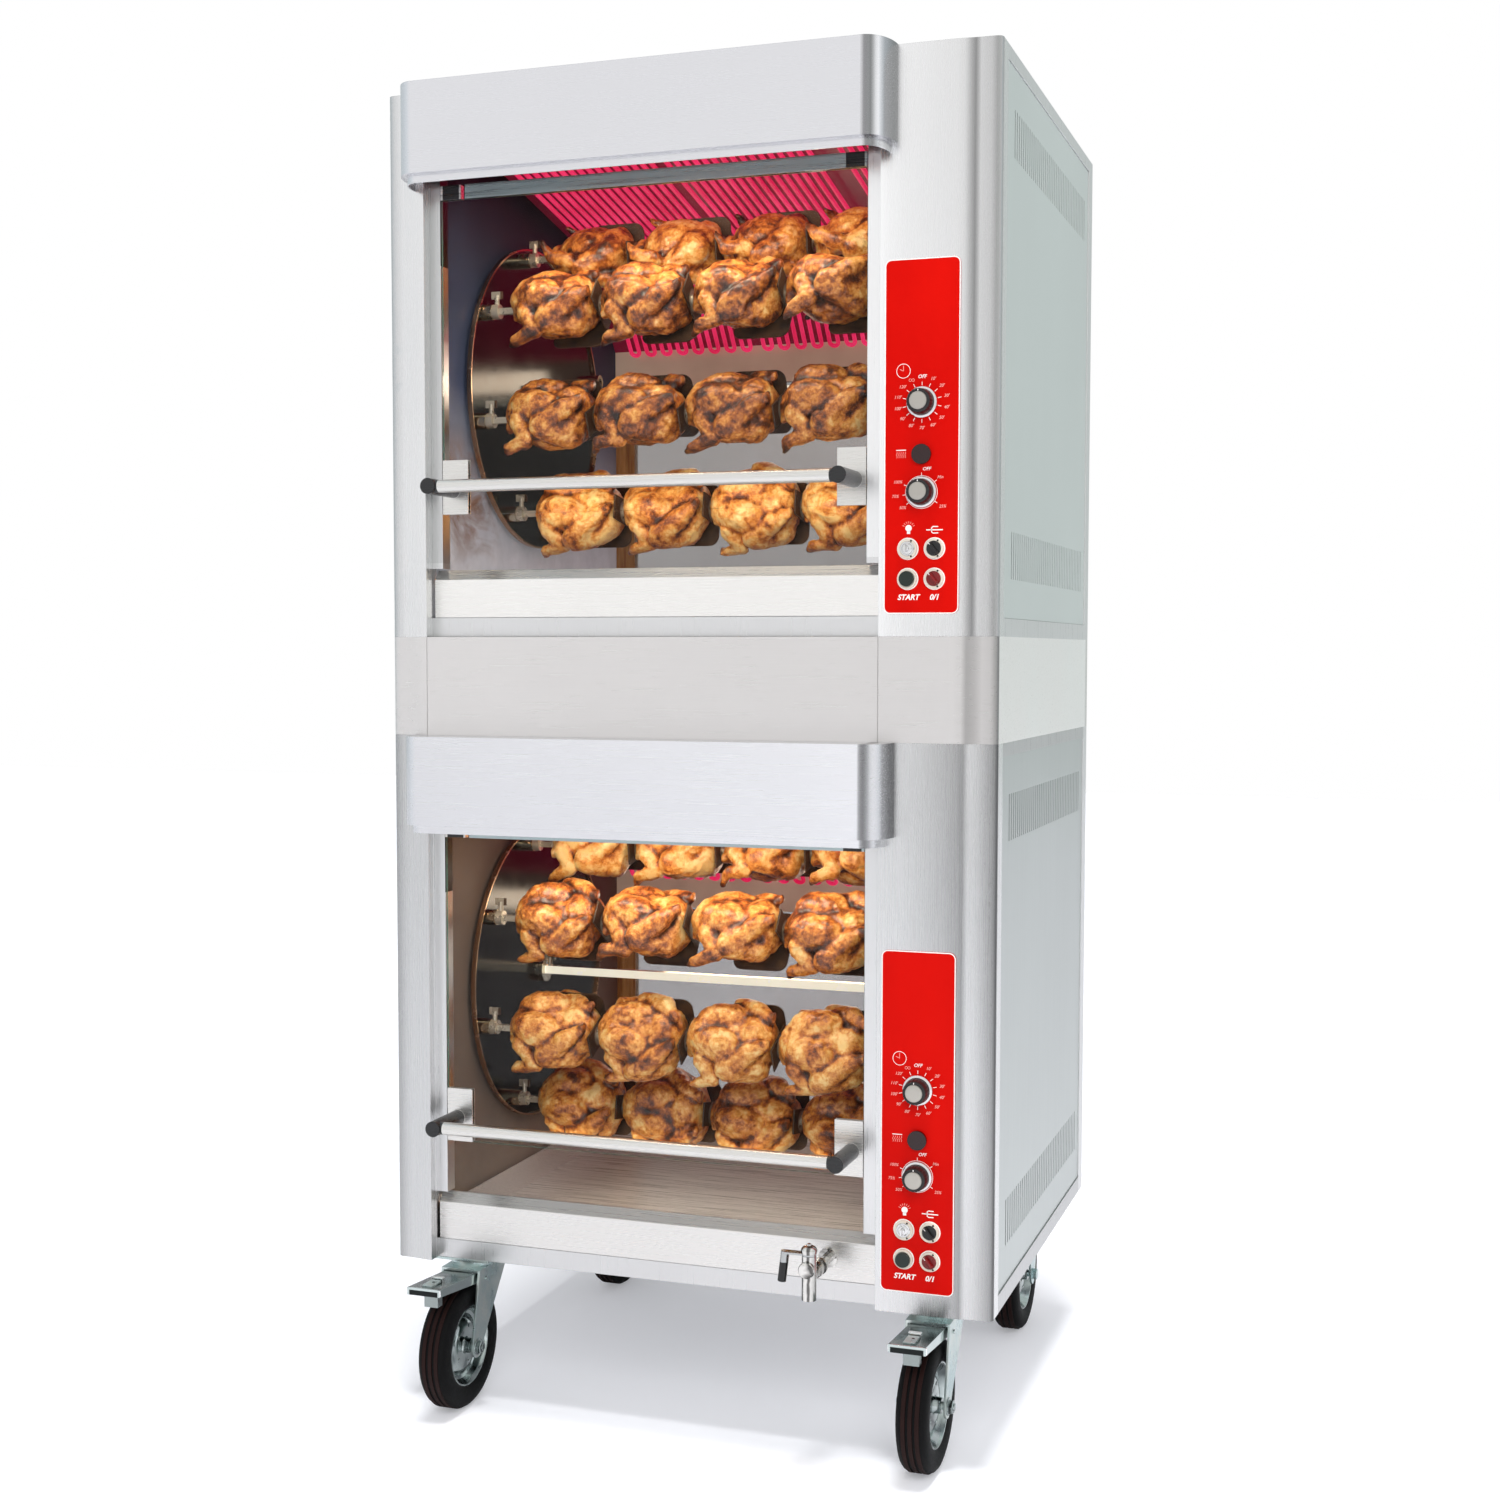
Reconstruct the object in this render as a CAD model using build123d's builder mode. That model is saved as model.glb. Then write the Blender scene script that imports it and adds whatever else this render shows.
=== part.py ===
"""Electric chicken rotisserie: two stacked modules with planetary rotors, on four casters.

Millimetres. X runs along the front, Y from front to back, Z up from the floor.
The origin lies on the floor, below the middle of the whole machine.
"""
from build123d import *
from math import atan2, cos, degrees, radians, sin, sqrt
import os

# Cabinet
cabinet_width = 990.0
cabinet_depth = 785.0
module_height = 855.0
spacer_height = 157.0
caster_height = 240.0
sheet = 2.0
seam = 0.5
seat_gap = 0.3
running_gap = 0.05

# Front pillars and control columns
pillar_width = 64.0
column_width = 179.0
pillar_depth = 45.0
corner_depth = 14.0
corner_width = 72.0
side_groove = 1.5

# Jambs beside each door
jamb_width = 19.0
right_jamb_width = 24.0
jamb_front = 20.5
jamb_bottom = 109.0

# Side frames and panels
side_bar_low = 27.0
side_bar_high = 20.0
side_post = 35.0
side_frame_thickness = 14.0
panel_inset = 2.0
vent_bottom = 86.0
vent_top = 776.0
vent_height = 71.0
vent_front = 92.0
vent_back = 727.0
vent_pitch = 16.0
vent_slot = 6.0

# Cavity
cavity_right = 830.0
cavity_back = 765.0
cavity_ceiling = 846.0
header_bottom = 728.0

# Hood
hood_reach = 61.0
hood_bottom = 715.0
hood_end = 38.0
hood_overlap = 26.0
hood_lip_inset = 10.0
hood_lip_drop = 13.0

# Door
door_plane = 22.0
glass_thickness = 5.0
door_gap = 1.0
door_bottom = 195.0
door_rail_bottom = 690.0
door_rail_height = 22.0
door_rail_thickness = 11.0
rail_bracket = 36.0
rail_break = 7.0
hinge_height = 704.0
hinge_pin = 6.0
hinge_pin_length = 9.0
handle_bar = 20.0
handle_reach = 53.0
handle_height = 233.5
standoff = 25.0
standoff_inset = 6.0
clamp_width = 45.0
clamp_height = 86.0
clamp_thickness = 2.0

# Fixed front guard and rear window
guard_gap = 0.3
guard_bottom = 98.0
guard_top = 215.0
guard_thickness = 4.0
guard_channel = 8.0
window_bottom = 110.0
window_top = 490.0
window_plane = 768.0
rear_post_width = 38.0

# Drip drawers
drawer_gap = 3.0
drawer_bottom = 31.0
drawer_top = 91.0
drawer_lip_rise = 16.0
drawer_lip_run = 13.0
drawer_plane = 23.5
tray_depth = 675.0
tray_bottom = 34.0
tray_top = 85.0
tray_wall = 1.5
tray_inset = 5.0
runner_width = 10.0

# Rotors
rotor_y = 384.0
rotor_z = 420.0
disc_radius = 260.0
disc_thickness = 3.0
disc_rim = 8.0
left_disc_x = 74.0
right_disc_x = 815.0
spit_circle = 240.0
socket_count = 8
first_socket_angle = 75.0
socket_radius = 13.0
socket_length = 24.0
centre_bar = 14.0
hub_radius = 22.0
hub_length = 18.0
shaft_radius = 10.0
idle_shaft_reach = 24.0
drive_shaft_reach = 45.0
bearing_radius = 19.0
bearing_length = 12.0

# Spits and forks
spit_count = 4
spit_journal = 7.0
spit_bar = 10.0
collar_length = 12.0
first_fork_x = 294.5
fork_pitch = 158.0
fork_count = 4
fork_sheet = 2.5
fork_spread = 40.0
fork_plate_length = 92.0
fork_plate_width = 104.0
fork_plate_corner = 16.0
fork_base_width = 40.0
fork_hub_radius = 9.5
fork_hub_length = 10.0
screw_radius = 4.0
screw_length = 15.0
wing_width = 20.0
wing_height = 12.0
wing_thickness = 3.0

# Chickens
chicken_length = 146.0
breast_radius = 52.0
neck_radius = 40.0
chicken_bore = 10.5
thigh_radius = 25.0
drumstick_radius = 14.0
drumstick_end = 8.0
wing_radius = 15.0
wing_tip = 9.0
spit_turns = (10.0, -35.0, 25.0, -10.0)

# Planetary drive
gear_module = 5.0
sun_teeth = 72
planet_teeth = 24
gear_width = 6.0
gear_x = 819.0
tooth_root_share = 0.29
tooth_tip_share = 0.12
tooth_addendum = 0.8
tooth_dedendum = 1.1
sun_bore_radius = 27.0
sun_spacer_radius = 39.0

# Heating
heater_front = (200.0, 790.0)
heater_bend = (625.0, 706.0)
heater_foot = (745.0, 556.0)
heater_tube = 4.0
heater_bend_radius = 60.0
heater_run_pitch = 16.3
heater_banks = ((107.0, 8), (378.0, 8), (675.0, 4))
terminal_depth = 14.0
terminal_height = 18.0
reflector_offset = 16.0

# Controls
panel_left = 819.5
panel_right = 932.5
panel_low = 33.0
panel_high = 547.5
panel_thickness = 1.5
panel_corner = 10.0
panel_mid = 876.0
timer_height = 340.0
power_height = 210.0
pilot_height = 265.0
top_row = 128.0
low_row = 84.0
switch_offset = 20.0
bezel_radius = 14.5
bezel_depth = 5.0
bezel_bore = 11.05
bezel_barrel = 12.4
bezel_tail = 10.0
button_radius = 11.0
button_proud = 1.0
button_rise = 5.0
button_tail = 5.0
button_travel = 4.0
knob_radius = 19.5
knob_skirt = 23.0
knob_skirt_depth = 6.0
knob_depth = 18.5
knob_cap_radius = 11.5
knob_cap_depth = 1.5
knob_shaft = 3.0
knob_shaft_tail = 16.0
grip_length = 21.0
grip_width = 6.0
grip_depth = 8.0
key_width = 3.0
key_height = 11.0
key_depth = 15.0

# Gear motors in the control columns
gearbox_width = 50.0
gearbox_depth = 84.0
gearbox_height = 96.0
strap_width = 16.0
motor_radius = 32.0
motor_length = 70.0

# Drain tap on the lower drawer
tap_x = 731.0
tap_height = 66.0
tap_y = -75.0
tap_radius = 11.0
tap_low = 31.0
tap_high = 98.0
tap_wall = 3.0
tap_stem_radius = 8.0
tap_flange_radius = 15.0
tap_flange = 4.0
lever_head = 8.0
lever_reach = 37.0
lever_width = 14.0
lever_sheet = 3.0
lever_grip_radius = 6.5
lever_grip_length = 46.0

# Casters
wheel_radius = 100.0
wheel_width = 50.0
tyre_shoulder = 14.0
rim_radius = 62.0
rim_recess = 13.0
hub_outer = 18.0
axle_radius = 6.0
caster_inset = 103.0
swivel_y = 75.0
caster_trail = 58.0
rear_caster_y = 680.0
plate_x = 100.0
plate_y = 105.0
plate_thickness = 4.0
swivel_radius = 38.0
swivel_stub = 30.0
race_height = 6.0
head_height = 8.0
crown_height = 218.0
crown_thickness = 4.0
leg_gap = 6.0
leg_thickness = 3.5
leg_top = 100.0
leg_foot = 18.0
nut_width = 10.0
nut_height = 7.0
pedal_reach = 100.0
pedal_half_width = 28.0
pedal_sheet = 2.5
pedal_back = 58.0
pedal_back_height = 214.0
pedal_front_height = 228.0
pedal_skirt = 12.0
pedal_pivot_y = 48.0
pedal_pivot_z = 204.0
pedal_pivot_radius = 3.0
shoe_front = -75.0
shoe_back = -60.0
shoe_low = 190.0
shoe_width = 24.0

# Places worked out from the sizes above
centre_x = cabinet_width / 2
centre_y = (cabinet_depth - pedal_reach) / 2
module_bases = {
    "lower": caster_height,
    "upper": caster_height + module_height + spacer_height,
}
column_left = cabinet_width - column_width
socket_angles = [first_socket_angle - i * 360 / socket_count for i in range(socket_count)]
spit_angles = socket_angles[:spit_count]
wheel_y = swivel_y - caster_trail
caster_xs = {"left": caster_inset, "right": cabinet_width - caster_inset}
opening_left = pillar_width + jamb_width
opening_right = column_left - right_jamb_width
glass_left = opening_left + door_gap
glass_right = opening_right - door_gap
glass_back = door_plane + glass_thickness
fork_xs = [first_fork_x + fork_pitch * i for i in range(fork_count)]

os.makedirs("parts", exist_ok=True)


def place(x, y, z):
    """A point given from the cabinet's left, front and floor, in the machine's own frame."""
    return Vector(x - centre_x, y - centre_y, z)


def block(x0, x1, y0, y1, z0, z1, mode=Mode.ADD):
    """Adds or cuts a block between two corners."""
    with Locations(place((x0 + x1) / 2, (y0 + y1) / 2, (z0 + z1) / 2)):
        Box(abs(x1 - x0), abs(y1 - y0), abs(z1 - z0), mode=mode)


def rod(x, y, z, radius, length, direction, mode=Mode.ADD):
    """Adds or cuts a cylinder that starts at a point and runs along a direction."""
    with BuildSketch(Plane(origin=place(x, y, z), z_dir=direction), mode=Mode.PRIVATE) as section:
        Circle(radius)
    extrude(section.sketch, amount=length, mode=mode)


def sleeve(x, y, z, outer, inner, length, direction):
    """Adds a tube that starts at a point and runs along a direction."""
    with BuildSketch(Plane(origin=place(x, y, z), z_dir=direction), mode=Mode.PRIVATE) as section:
        Circle(outer)
        Circle(inner, mode=Mode.SUBTRACT)
    extrude(section.sketch, amount=length)


def side_shape(x, thickness, points, mode=Mode.ADD):
    """Adds or cuts a plate square to X, from the Y and Z of its corners, front and floor being 0."""
    plane = Plane(origin=place(x, 0, 0), x_dir=(0, 1, 0), z_dir=(1, 0, 0))
    with BuildSketch(plane, mode=Mode.PRIVATE) as section:
        Polygon(*points, align=None)
    extrude(section.sketch, amount=thickness, mode=mode)


def save(part, name):
    """Labels a finished piece and writes it."""
    part.label = name
    export_step(part, f"parts/{name}.step")


def spit_place(angle, base):
    """Y and Z of a spit socket; angles count from the front, upwards."""
    y = rotor_y - spit_circle * cos(radians(angle))
    z = base + rotor_z + spit_circle * sin(radians(angle))
    return y, z


def corner_curve(inner_x, outer_x):
    """The shallow rounded corner from the front face to a side."""
    middle_x = inner_x + (outer_x - inner_x) * sin(radians(45))
    middle_y = corner_depth * (1 - cos(radians(45)))
    start = place(inner_x, 0, 0)
    end = place(outer_x, corner_depth, 0)
    Spline(start, place(middle_x, middle_y, 0), end, tangents=((outer_x - inner_x, 0), (0, 1)))


# Pillars and columns: bent sheet with a shallow rounded outer corner
pillar_shapes = (
    (pillar_width, pillar_width, 0.0),
    (column_left, cabinet_width - corner_width, cabinet_width),
)
with BuildPart() as front_pillars:
    for base in module_bases.values():
        top = base + module_height
        for inner_x, curve_x, outer_x in pillar_shapes:
            with BuildSketch(Plane.XY.offset(base)):
                with BuildLine():
                    Line(place(inner_x, pillar_depth, 0), place(inner_x, 0, 0))
                    if abs(curve_x - inner_x) > sheet:
                        Line(place(inner_x, 0, 0), place(curve_x, 0, 0))
                    corner_curve(curve_x, outer_x)
                    Line(place(outer_x, corner_depth, 0), place(outer_x, pillar_depth, 0))
                    Line(place(outer_x, pillar_depth, 0), place(inner_x, pillar_depth, 0))
                make_face()
            extrude(amount=module_height)
            low_x = min(inner_x, outer_x) + sheet
            high_x = max(inner_x, outer_x) - sheet
            inside_y = corner_depth + sheet
            block(low_x, high_x, inside_y, pillar_depth, base + sheet, top - sheet, Mode.SUBTRACT)
            if abs(curve_x - inner_x) > 2 * sheet:
                block(inner_x + sheet, curve_x, sheet, inside_y, base + sheet, top - sheet, Mode.SUBTRACT)
            groove_x = side_groove if outer_x < inner_x else outer_x - side_groove
            block(groove_x, outer_x, inside_y, inside_y + sheet, base, top, Mode.SUBTRACT)
        for height in (timer_height, power_height):
            rod(panel_mid, -1, base + height, knob_shaft + running_gap, sheet + 2, (0, 1, 0), Mode.SUBTRACT)
        rod(panel_mid, -1, base + pilot_height, bezel_barrel, sheet + 2, (0, 1, 0), Mode.SUBTRACT)
        for row in (top_row, low_row):
            for side in (-1, 1):
                x = panel_mid + side * switch_offset
                rod(x, -1, base + row, bezel_barrel, sheet + 2, (0, 1, 0), Mode.SUBTRACT)
save(front_pillars.part, "front_pillars")

# Cabinet frame: side bars, floors, tops, headers, jambs and rails
back = cabinet_depth - sheet
post_front = cabinet_depth - side_post
floor_low = side_frame_thickness
floor_high = cabinet_width - side_frame_thickness
with BuildPart() as cabinet_frame:
    for base in module_bases.values():
        top = base + module_height
        for side_x in (0.0, floor_high):
            side_end = side_x + side_frame_thickness
            block(side_x, side_end, pillar_depth, post_front, base, base + side_bar_low)
            block(side_x, side_end, pillar_depth, post_front, top - side_bar_high, top)
        block(floor_low, floor_high, pillar_depth, back, base, base + sheet)
        block(floor_low, floor_high, pillar_depth, back, top - sheet, top)
        rail_top = base + drawer_bottom - seam
        block(pillar_width, column_left, drawer_plane, drawer_plane + sheet, base, rail_top)
        block(pillar_width, column_left, drawer_plane + sheet, pillar_depth, base, base + sheet)
        header = base + header_bottom
        block(pillar_width, column_left, 0, sheet, header, top)
        block(pillar_width, column_left, pillar_depth - sheet, pillar_depth, header, top)
        block(pillar_width, column_left, sheet, pillar_depth - sheet, top - sheet, top)
        block(pillar_width, column_left, sheet, pillar_depth - sheet, header, header + sheet)
        hinge_y = door_plane + glass_thickness / 2
        for jamb_x, jamb_end in ((pillar_width, opening_left), (opening_right, column_left)):
            block(jamb_x, jamb_end, jamb_front, pillar_depth, base + jamb_bottom, header)
            rod(jamb_x - 1, hinge_y, base + hinge_height, hinge_pin / 2 + running_gap,
                jamb_end - jamb_x + 2, (1, 0, 0), Mode.SUBTRACT)
save(cabinet_frame.part, "cabinet_frame")

# Rear frame: corner posts, rear sheets and the posts and bars around each rear window
window_low = pillar_width + sheet + rear_post_width
window_high = cavity_right - rear_post_width
with BuildPart() as rear_frame:
    for base in module_bases.values():
        top = base + module_height
        for side_x in (0.0, floor_high):
            block(side_x, side_x + side_frame_thickness, post_front, cabinet_depth, base, top)
        block(floor_low, floor_high, back, cabinet_depth, base, base + window_bottom)
        block(floor_low, floor_high, back, cabinet_depth, base + window_top, top)
        block(floor_low, window_low, back, cabinet_depth, base + window_bottom, base + window_top)
        block(window_high, floor_high, back, cabinet_depth, base + window_bottom, base + window_top)
        for post_low, post_high in ((pillar_width + sheet, window_low), (window_high, cavity_right)):
            block(post_low, post_high, cavity_back, back, base + sheet, base + window_top + sheet)
        for bar_low in (base + window_bottom - sheet, base + window_top):
            block(window_low, window_high, cavity_back, back, bar_low, bar_low + sheet)
save(rear_frame.part, "rear_frame")

# Side panels with bands of vent slots, one of them drawn and placed four times
panel_front = pillar_depth + seam
panel_back = cabinet_depth - side_post - seam
panel_bottom = side_bar_low + seam
panel_top = module_height - side_bar_high - seam
vent_middle = (vent_front + vent_back) / 2
slot_count = int((vent_back - vent_front) / vent_pitch)
with BuildPart() as side_panel:
    wall = Plane(origin=place(panel_inset, 0, 0), x_dir=(0, 1, 0), z_dir=(1, 0, 0))
    with BuildSketch(wall):
        with Locations(((panel_front + panel_back) / 2, (panel_bottom + panel_top) / 2)):
            Rectangle(panel_back - panel_front, panel_top - panel_bottom)
        for band in (vent_bottom + vent_height / 2, vent_top - vent_height / 2):
            with Locations((vent_middle, band)):
                with GridLocations(vent_pitch, 1, slot_count, 1):
                    Rectangle(vent_slot, vent_height, mode=Mode.SUBTRACT)
    extrude(amount=sheet)
right_shift = cabinet_width - 2 * panel_inset - sheet
with BuildPart() as side_panels:
    with Locations(*[(x, 0, base) for x in (0, right_shift) for base in module_bases.values()]):
        add(side_panel.part)
save(side_panels.part, "side_panels")

# Spacer band between the modules, with the same corners as the pillars
with BuildPart() as spacer_band:
    band_low = module_bases["lower"] + module_height
    band_high = module_bases["upper"]
    with BuildSketch(Plane.XY.offset(band_low)):
        with BuildLine():
            Line(place(pillar_width, 0, 0), place(cabinet_width - corner_width, 0, 0))
            corner_curve(cabinet_width - corner_width, cabinet_width)
            Line(place(cabinet_width, corner_depth, 0), place(cabinet_width, cabinet_depth, 0))
            Line(place(cabinet_width, cabinet_depth, 0), place(0, cabinet_depth, 0))
            Line(place(0, cabinet_depth, 0), place(0, corner_depth, 0))
            corner_curve(pillar_width, 0)
        make_face()
    extrude(amount=spacer_height)
    block(sheet, cabinet_width - sheet, corner_depth + sheet, cabinet_depth - sheet,
          band_low, band_high, Mode.SUBTRACT)
    block(pillar_width, cabinet_width - corner_width, sheet, corner_depth + sheet,
          band_low, band_high, Mode.SUBTRACT)
    for x in (pillar_width, column_left):
        block(x - seam, x + seam, -1, side_groove - seam, band_low, band_high, Mode.SUBTRACT)
    for y in (corner_depth + 1.5 * sheet, pillar_depth, cabinet_depth - side_post):
        for x in (0, cabinet_width):
            block(x - sheet / 2, x + sheet / 2, y - seam, y + seam, band_low, band_high, Mode.SUBTRACT)
save(spacer_band.part, "spacer_band")


# Hoods over the doors, with rounded ends and an inner lip
def hood_plan(inset):
    """The plan of the hood, drawn in from its outside by an inset."""
    left = pillar_width - hood_overlap + hood_end
    right = column_left + hood_overlap - hood_end
    width = hood_end - inset
    depth = hood_reach - inset
    EllipticalCenterArc(place(left, 0, 0), width, depth, start_angle=180, arc_size=90)
    Line(place(left, -depth, 0), place(right, -depth, 0))
    EllipticalCenterArc(place(right, 0, 0), width, depth, start_angle=270, arc_size=90)
    Line(place(right + width, 0, 0), place(left - width, 0, 0))


with BuildPart() as hoods:
    for base in module_bases.values():
        top = base + module_height
        floor = base + hood_bottom
        with BuildSketch(Plane.XY.offset(floor)):
            with BuildLine():
                hood_plan(0)
            make_face()
        extrude(amount=top - floor)
        with BuildSketch(Plane.XY.offset(floor + sheet)):
            with BuildLine():
                hood_plan(sheet)
            make_face()
        extrude(amount=top - floor - 2 * sheet, mode=Mode.SUBTRACT)
        with BuildSketch(Plane.XY.offset(floor - hood_lip_drop)):
            with BuildLine():
                hood_plan(hood_lip_inset)
            make_face()
        extrude(amount=hood_lip_drop)
        with BuildSketch(Plane.XY.offset(floor - hood_lip_drop)):
            with BuildLine():
                hood_plan(hood_lip_inset + sheet)
            make_face()
        extrude(amount=hood_lip_drop, mode=Mode.SUBTRACT)
save(hoods.part, "hoods")

# Cavity walls with rotor bearings, drawer runners and channels for the front guard
with BuildPart() as cavity_walls:
    for base in module_bases.values():
        low = base + sheet
        high = base + cavity_ceiling
        left_in = pillar_width + sheet
        right_in = cavity_right - sheet
        block(pillar_width, left_in, pillar_depth, cavity_back, low, high)
        block(right_in, cavity_right, pillar_depth, cavity_back, low, high)
        block(column_left, right_in, pillar_depth, pillar_depth + sheet, low, high)
        block(pillar_width, cavity_right, pillar_depth, cavity_back, high, high + sheet)
        axis_z = base + rotor_z
        for wall_x, away in ((left_in, -1), (right_in, 1)):
            rod(wall_x - away, rotor_y, axis_z, bearing_radius, sheet + 2, (away, 0, 0), Mode.SUBTRACT)
            sleeve(wall_x, rotor_y, axis_z, bearing_radius + seam, shaft_radius + running_gap,
                   bearing_length + sheet, (away, 0, 0))
        runner_top = base + tray_bottom - seat_gap
        block(left_in, left_in + runner_width, pillar_depth, cavity_back, runner_top - sheet, runner_top)
        block(column_left - tray_inset - runner_width, right_in, pillar_depth + sheet, cavity_back,
              runner_top - sheet, runner_top)
        guard_back = pillar_depth + guard_gap + guard_thickness
        right_in = column_left + sheet
        channel_ends = ((left_in, left_in + guard_channel), (right_in, column_left - guard_channel))
        for wall_x, inner_x in channel_ends:
            block(wall_x, inner_x, guard_back + guard_gap, guard_back + guard_gap + sheet,
                  base + guard_bottom - sheet, base + guard_top)
            block(wall_x, inner_x, pillar_depth + sheet + guard_gap, guard_back + guard_gap,
                  base + guard_bottom - sheet, base + guard_bottom)
        block(column_left + seam, column_left + sheet, pillar_depth + sheet, guard_back + guard_gap + sheet,
              base + guard_bottom - sheet, base + guard_top)
save(cavity_walls.part, "cavity_walls")

# Heating elements: hairpin tubes under the ceiling that bend down the back, in banks.
# The reflector behind them keeps a steady distance from both straight runs.
slope = (heater_bend[1] - heater_front[1]) / (heater_bend[0] - heater_front[0])
fall = (heater_foot[1] - heater_bend[1]) / (heater_foot[0] - heater_bend[0])
slope_start = heater_front[1] + reflector_offset * sqrt(1 + slope * slope) - slope * heater_front[0]
fall_start = heater_bend[1] + reflector_offset * sqrt(1 + fall * fall) - fall * heater_bend[0]
turn = heater_run_pitch / 2
first_run = heater_banks[0][0]
leg_points = (heater_front, heater_bend, heater_foot)
left_leg = [place(first_run, y, z) for y, z in leg_points]
right_leg = [place(first_run + 2 * turn, y, z) for y, z in reversed(leg_points)]
foot_direction = (left_leg[2] - left_leg[1]).normalized()
foot_middle = (left_leg[2] + right_leg[0]) / 2 + foot_direction * turn
with BuildPart() as hairpin:
    with BuildLine() as hairpin_path:
        FilletPolyline(*left_leg, radius=heater_bend_radius)
        ThreePointArc(left_leg[2], foot_middle, right_leg[0])
        FilletPolyline(*right_leg, radius=heater_bend_radius)
    with BuildSketch(Plane(origin=left_leg[0], z_dir=left_leg[1] - left_leg[0])):
        Circle(heater_tube)
    sweep()
with BuildPart() as heating_elements:
    for base in module_bases.values():
        for bank_x, hairpins in heater_banks:
            bank_shift = bank_x - first_run
            with Locations(*[(bank_shift + 2 * i * heater_run_pitch, 0, base) for i in range(hairpins)]):
                add(hairpin.part)
            bank_end = bank_x + (2 * hairpins - 1) * heater_run_pitch
            end_y, end_z = heater_front
            block(bank_x - turn, bank_end + turn, end_y - terminal_depth, end_y,
                  base + end_z - terminal_height / 2, base + slope_start + slope * end_y - seat_gap)
save(heating_elements.part, "heating_elements")

# Reflectors above and behind the tubes, and the rear panel below them
with BuildPart() as heater_reflectors:
    left_in = pillar_width + sheet
    right_in = cavity_right - sheet
    front_y = pillar_depth + sheet
    front_z = slope_start + slope * front_y
    bend_y = (fall_start - slope_start) / (slope - fall)
    bend_z = slope_start + slope * bend_y
    foot_y = cavity_back
    foot_z = fall_start + fall * foot_y
    for base in module_bases.values():
        lower_edge = [(front_y, front_z), (bend_y, bend_z), (foot_y, foot_z)]
        upper_edge = [(y, z + sheet) for y, z in reversed(lower_edge)]
        side_shape(left_in, right_in - left_in, [(y, z + base) for y, z in lower_edge + upper_edge])
        block(left_in, right_in, cavity_back - sheet, cavity_back, base + window_top, base + foot_z + sheet)
save(heater_reflectors.part, "heater_reflectors")

# Glass that stays in place: rear windows and front guards
with BuildPart() as fixed_glass:
    for base in module_bases.values():
        block(pillar_width + sheet + rear_post_width, cavity_right - rear_post_width,
              window_plane, window_plane + glass_thickness, base + window_bottom, base + window_top)
        block(pillar_width + sheet + seat_gap, column_left - seat_gap,
              pillar_depth + guard_gap, pillar_depth + guard_gap + guard_thickness,
              base + guard_bottom, base + guard_top)
save(fixed_glass.part, "fixed_glass")

# Doors: a glass pane, and the metal parts that swing with it
for module, base in module_bases.items():
    with BuildPart() as door_glass:
        block(glass_left, glass_right, door_plane, glass_back, base + door_bottom, base + door_rail_bottom)
    save(door_glass.part, f"{module}_door_glass")

    rail_middle = door_plane + glass_thickness / 2
    rail_front = rail_middle - door_rail_thickness / 2
    rail_low = base + door_rail_bottom
    clamp_low = base + door_bottom
    clamp_front = door_plane - clamp_thickness
    with BuildPart() as door_hardware:
        bracket_end = glass_left + rail_bracket
        for x0, x1 in ((glass_left, bracket_end), (bracket_end + rail_break, glass_right)):
            rail_back = rail_front + door_rail_thickness
            block(x0, x1, rail_front, rail_back, rail_low, rail_low + door_rail_height)
        for pin_x, run in ((glass_left, -1), (glass_right, 1)):
            rod(pin_x, rail_middle, base + hinge_height, hinge_pin / 2, hinge_pin_length, (run, 0, 0))
        bar_ends = []
        for clamp_x, inward in ((glass_left, 1), (glass_right, -1)):
            for clamp_y in (clamp_front, glass_back):
                block(clamp_x, clamp_x + inward * clamp_width, clamp_y, clamp_y + clamp_thickness,
                      clamp_low, clamp_low + clamp_height)
            standoff_x = clamp_x + inward * (standoff / 2 + standoff_inset)
            bar_ends.append(standoff_x)
            rod(standoff_x, clamp_front, base + handle_height, standoff / 2,
                handle_reach + clamp_front + standoff / 2, (0, -1, 0))
        bar_z = base + handle_height
        rod(bar_ends[0], -handle_reach, bar_z, handle_bar / 2, bar_ends[1] - bar_ends[0], (1, 0, 0))
    save(door_hardware.part, f"{module}_door_hardware")

# Drip drawers: a front with a slanted lip, and a tray behind it
for module, base in module_bases.items():
    front_left = pillar_width + drawer_gap
    front_right = column_left - drawer_gap
    with BuildPart() as drawer:
        lip_top = drawer_top + drawer_lip_rise
        lip_back = drawer_plane + drawer_lip_run
        profile = [
            (drawer_plane, drawer_bottom), (drawer_plane, drawer_top), (lip_back, lip_top),
            (lip_back + sheet, lip_top), (drawer_plane + sheet, drawer_top),
            (drawer_plane + sheet, drawer_bottom),
        ]
        side_shape(front_left, front_right - front_left, [(y, z + base) for y, z in profile])
        tray_left = front_left + tray_inset
        tray_right = front_right - tray_inset
        tray_front = drawer_plane + sheet
        tray_back = tray_front + tray_depth
        block(tray_left, tray_right, tray_front, tray_back, base + tray_bottom, base + tray_top)
        block(tray_left + tray_wall, tray_right - tray_wall, tray_front + tray_wall, tray_back - tray_wall,
              base + tray_bottom + tray_wall, base + tray_top, Mode.SUBTRACT)
    save(drawer.part, f"{module}_drip_drawer")


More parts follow.
